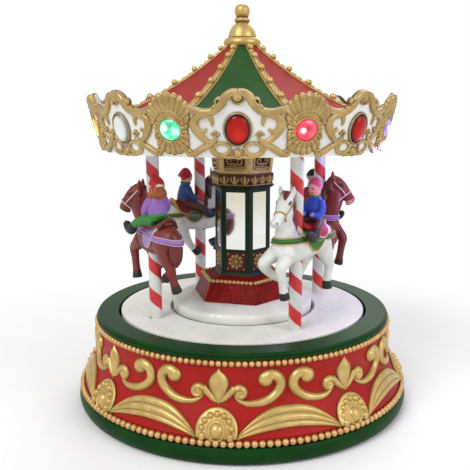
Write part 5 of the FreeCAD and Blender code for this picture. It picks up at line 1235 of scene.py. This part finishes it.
# what figures share unless their own row says otherwise; paints are screen values
usual = {"yaw": 0.0, "turn": 0.0, "flap": (-19.8, -9.0, 76), "slim": 1.0, "slant": 0.0, "hindLeft": False}
usualPaint = {
    "eye": (30, 24, 24), "nostril": (90, 70, 66), "noseband": (176, 138, 70), "trim": (190, 148, 70),
    "skin": (224, 166, 140), "eyes": (40, 24, 24), "lips": (170, 60, 60),
}
figures = {
    "front_right": {
        "number": 0, "yaw": 18.0, "turn": 20.0, "drop": 112, "slim": 0.84, "shift": (-4.4, 0.6, 1.0),
        "paint": {
            "coat": (218, 220, 214), "hair": (112, 40, 30), "hoof": (28, 30, 28), "muzzle": (224, 222, 216),
            "band": (38, 110, 34), "edging": (190, 148, 70), "cloth": (34, 112, 36), "saddle": (176, 30, 40),
            "trim": (214, 190, 220), "hips": (86, 44, 34), "jacket": (44, 74, 200), "skin": (226, 150, 150),
            "hat": (204, 74, 128), "brim": (220, 140, 196), "hands": (150, 120, 190), "legs": (92, 50, 40),
            "boots": (26, 26, 34), "eyes": (40, 20, 36), "lips": (170, 40, 60), "scarf": (50, 120, 50),
        },
    },
    "back_right": {
        "number": 1, "turn": 52.0, "drop": 106, "slim": 0.95, "shift": (1.5, 2.0, -1.0), "hindLeft": True,
        "paint": {
            "coat": (118, 42, 34), "hair": (82, 32, 28), "hoof": (30, 22, 20), "muzzle": (196, 132, 108),
            "eye": (20, 14, 14), "nostril": (60, 30, 26), "band": (146, 108, 168), "edging": (206, 172, 190),
            "noseband": (226, 196, 186), "cloth": (120, 84, 160), "saddle": (120, 24, 26),
            "hips": (70, 40, 40), "jacket": (170, 40, 40), "hat": (34, 28, 32), "brim": (210, 206, 200),
            "hands": (210, 160, 140), "legs": (60, 60, 84), "boots": (26, 24, 26), "scarf": (60, 110, 60),
        },
    },
    "back_left": {
        "number": 2, "drop": 108, "shift": (1.0, 0, -1.0),
        "paint": {
            "coat": (218, 220, 212), "hair": (70, 34, 26), "hoof": (28, 28, 28), "muzzle": (222, 220, 212),
            "band": (70, 100, 46), "edging": (196, 150, 70), "cloth": (62, 96, 52), "saddle": (120, 26, 26),
            "hips": (92, 52, 42), "jacket": (32, 70, 130), "hat": (172, 26, 34), "brim": (166, 26, 34),
            "hands": (170, 150, 130), "legs": (92, 50, 42), "boots": (40, 44, 72), "scarf": (44, 108, 56),
        },
    },
    "front_left": {
        "number": 3, "turn": 52.0, "drop": 112, "flap": (-15.0, -8.0, 40), "slant": 8.5,
        "shift": (2.0, 2.0, 1.6),
        "paint": {
            "coat": (122, 44, 38), "hair": (98, 36, 32), "hoof": (44, 34, 28), "muzzle": (112, 44, 38),
            "eye": (20, 14, 14), "nostril": (50, 22, 20), "band": (146, 112, 176), "edging": (206, 172, 200),
            "noseband": (224, 200, 190), "cloth": (150, 120, 184), "saddle": (112, 40, 34),
            "trim": (96, 36, 32), "hips": (46, 124, 44), "jacket": (142, 100, 176), "skin": (226, 168, 144),
            "hat": (188, 34, 30), "brim": (230, 214, 200), "hands": (150, 112, 180),
            "legs": (52, 124, 60), "boots": (26, 34, 34), "lips": (190, 60, 70), "riderHair": (160, 88, 40),
        },
    },
}
clay = {"horseVoxel": 0.45, "riderVoxel": 0.36, "passes": 3, "deck": 54.3}


# brushed figure paint: the paint mark gives the colour, dimmed in clouds, over a fine brushed grain
def figureLook(w):
    coat = w.mark("paint", "Color")
    cloud = w.noise(0.005, 3.0)
    grain = w.noise(0.0007)
    dim = (cloud * 0.6 + grain * 0.4).between(0.36, 0.62)
    multiply = {"data_type": "RGBA", "blend_type": "MULTIPLY"}
    shade = w.add("Mix", multiply, {0: 1.0, 6: coat, 7: (0.84, 0.82, 0.81, 1)}, 2)
    return {
        "Base Color": dim.blend(shade, coat),
        "Roughness": 0.42 + (cloud - 0.5) * 0.2,
        "Normal": (grain + cloud).bump(0.3, 0.00009),
    }


figurePaint = finish("figurePaint", {"Specular IOR Level": 0.4}, figureLook)


# turns a figure about its pole and sets it on the deck, as the frame's own figures stand
def setDown(surface, look, facing=0.0):
    points, faces, marks = surface
    points = looking(points, facing)
    bearing, foot = poleFoot(look["number"])
    turn = bearing + math.pi + math.radians(look["yaw"])
    x = points[:, 0] * math.cos(turn) - points[:, 1] * math.sin(turn)
    y = points[:, 0] * math.sin(turn) + points[:, 1] * math.cos(turn)
    return np.stack([x, y, points[:, 2] + clay["deck"]], -1) + foot, faces, marks


# horse, rider and tack of one figure; the rider's rows are slimmed across and shifted to the saddle
def makeFigure(name, row):
    look = {**usual, **row}
    tone = {part: tint(*value) for part, value in {**usualPaint, **row["paint"]}.items()}
    breed = "white_horse" if tone["coat"][1] > 0.3 else "brown_horse"
    body, coat = sculpt(horseLimbs(look, tone), clay["horseVoxel"], clay["passes"])
    size = np.array([1.0, look["slim"], 1.0, 1.0, look["slim"]])
    move = np.array([*look["shift"], 0.0, 0.0])
    limbs = [(np.asarray(rows) * size + move, colour) for rows, colour in riderLimbs(tone)]
    person, clothes = sculpt(limbs, clay["riderVoxel"], clay["passes"])
    tack, leather = makeTack(body[0], look, tone)
    blankets = () if look["number"] else ["saddle_blankets"]
    rows = [
        ("horse_" + name, setDown(body, look, look["turn"]), ["horse_" + name], breed, coat),
        ("rider_" + name, setDown(person, look), ["rider_" + name], "rider_paint", clothes),
        ("tack_" + name, setDown(tack, look, look["turn"]), blankets, "blanket_paint", leather),
    ]
    for pieceName, surface, hides, slot, colours in rows:
        makePiece(pieceName, surface, figurePaint, "turntable_body", hides, paint=colours)
    print("figure set:", name)


for figureName, figureRow in figures.items():
    makeFigure(figureName, figureRow)

stage = {"floorSize": 6.0, "fadeNear": 0.16, "fadeFar": 0.34, "white": (0.93, 0.93, 0.93)}


# floor: pale paint near the object so that its shadow stays, plain white further off for the camera
def floorMaterial():
    material = bpy.data.materials.new("studioFloor")
    material.use_nodes = True
    tree = material.node_tree
    tree.nodes.clear()
    w = Wire(tree)
    grain = w.noise(0.01).between(0.2, 0.8).blend(stage["white"], tuple(0.985 * c for c in stage["white"]))
    paper = w.add("BsdfDiffuse", {}, {"Color": grain})
    glow = w.add("Emission", {}, {"Color": (1, 1, 1, 1), "Strength": 1.0})
    reach = w.add("VectorMath", {"operation": "LENGTH"}, {0: w.place()}, "Value")
    seen = w.ray("Is Camera Ray") + w.ray("Is Glossy Ray") + w.ray("Is Transmission Ray")
    share = reach.between(stage["fadeNear"], stage["fadeFar"]) * w.math("MINIMUM", seen, 1.0)
    mixed = w.add("MixShader", {}, {0: share, 1: paper, 2: glow})
    tree.links.new(mixed.socket, tree.nodes.new("ShaderNodeOutputMaterial").inputs["Surface"])
    return material


# one square of floor
def layFloor():
    half = stage["floorSize"] / 2
    mesh = bpy.data.meshes.new("studioFloor")
    corners = [(-half, -half, 0), (half, -half, 0), (half, half, 0), (-half, half, 0)]
    mesh.from_pydata(corners, [], [(0, 1, 2, 3)])
    mesh.materials.append(floorMaterial())
    floor = bpy.data.objects.new("studioFloor", mesh)
    bpy.context.scene.collection.objects.link(floor)


layFloor()

# a lamp is its place, size and power, and its colour where it isn't white
light = {
    "world": 0.56, "mirrored": 0.8, "aim": 0.1,
    "glow": (0.085, -0.02, 0.147, 0.03, 0.04, (0.34, 0.26, 1.0)),
    "key": (-0.55, -0.75, 0.95, 0.7, 8.0), "fill": (0.8, -0.55, 0.55, 0.7, 3.4),
    "back": (0.2, 0.9, 0.8, 0.8, 4.0),
}


# white surroundings: soft light level for surfaces, plain white for what the camera, metal and glass see
def lightWorld():
    world = bpy.data.worlds.new("studio")
    world.use_nodes = True
    bpy.context.scene.world = world
    tree = world.node_tree
    w = Wire(tree)
    seen = w.math("MINIMUM", w.ray("Is Camera Ray") + w.ray("Is Transmission Ray"), 1.0)
    mirrored = w.ray("Is Glossy Ray") * (light["mirrored"] - light["world"])
    strength = light["world"] + seen * (1 - light["world"]) + mirrored
    tree.links.new(strength.socket, tree.nodes["Background"].inputs["Strength"])
    tree.nodes["Background"].inputs["Color"].default_value = (1, 1, 1, 1)


# disc lamp turned towards the middle of the object
def addLamp(name, x, y, z, size, power, colour=(1, 1, 1)):
    lamp = bpy.data.lights.new(name, "AREA")
    lamp.shape = "DISK"
    lamp.size = size
    lamp.energy = power
    lamp.color = colour
    holder = bpy.data.objects.new(name, lamp)
    holder.location = (x, y, z)
    spot = np.array([x, y, z - light["aim"]])
    holder.rotation_euler = (math.acos(spot[2] / np.linalg.norm(spot)), 0, math.atan2(y, x) + math.pi / 2)
    bpy.context.scene.collection.objects.link(holder)


lightWorld()
for lampName in ("key", "fill", "back", "glow"):
    addLamp(lampName, *light[lampName])

eye = {"place": (0, -0.3982, 0.1718), "down": 10.58, "lens": 50.93, "shift": -0.0155}
camera = bpy.data.cameras.new("photoEye")
camera.lens = eye["lens"]
camera.shift_x = eye["shift"]
camera.clip_start = 0.01
watcher = bpy.data.objects.new("photoEye", camera)
watcher.location = eye["place"]
watcher.rotation_euler = (math.radians(90 - eye["down"]), 0, 0)
bpy.context.scene.collection.objects.link(watcher)
bpy.context.scene.camera = watcher
bpy.context.scene.view_settings.view_transform = "Standard"
print("stage, lamps and camera ready")
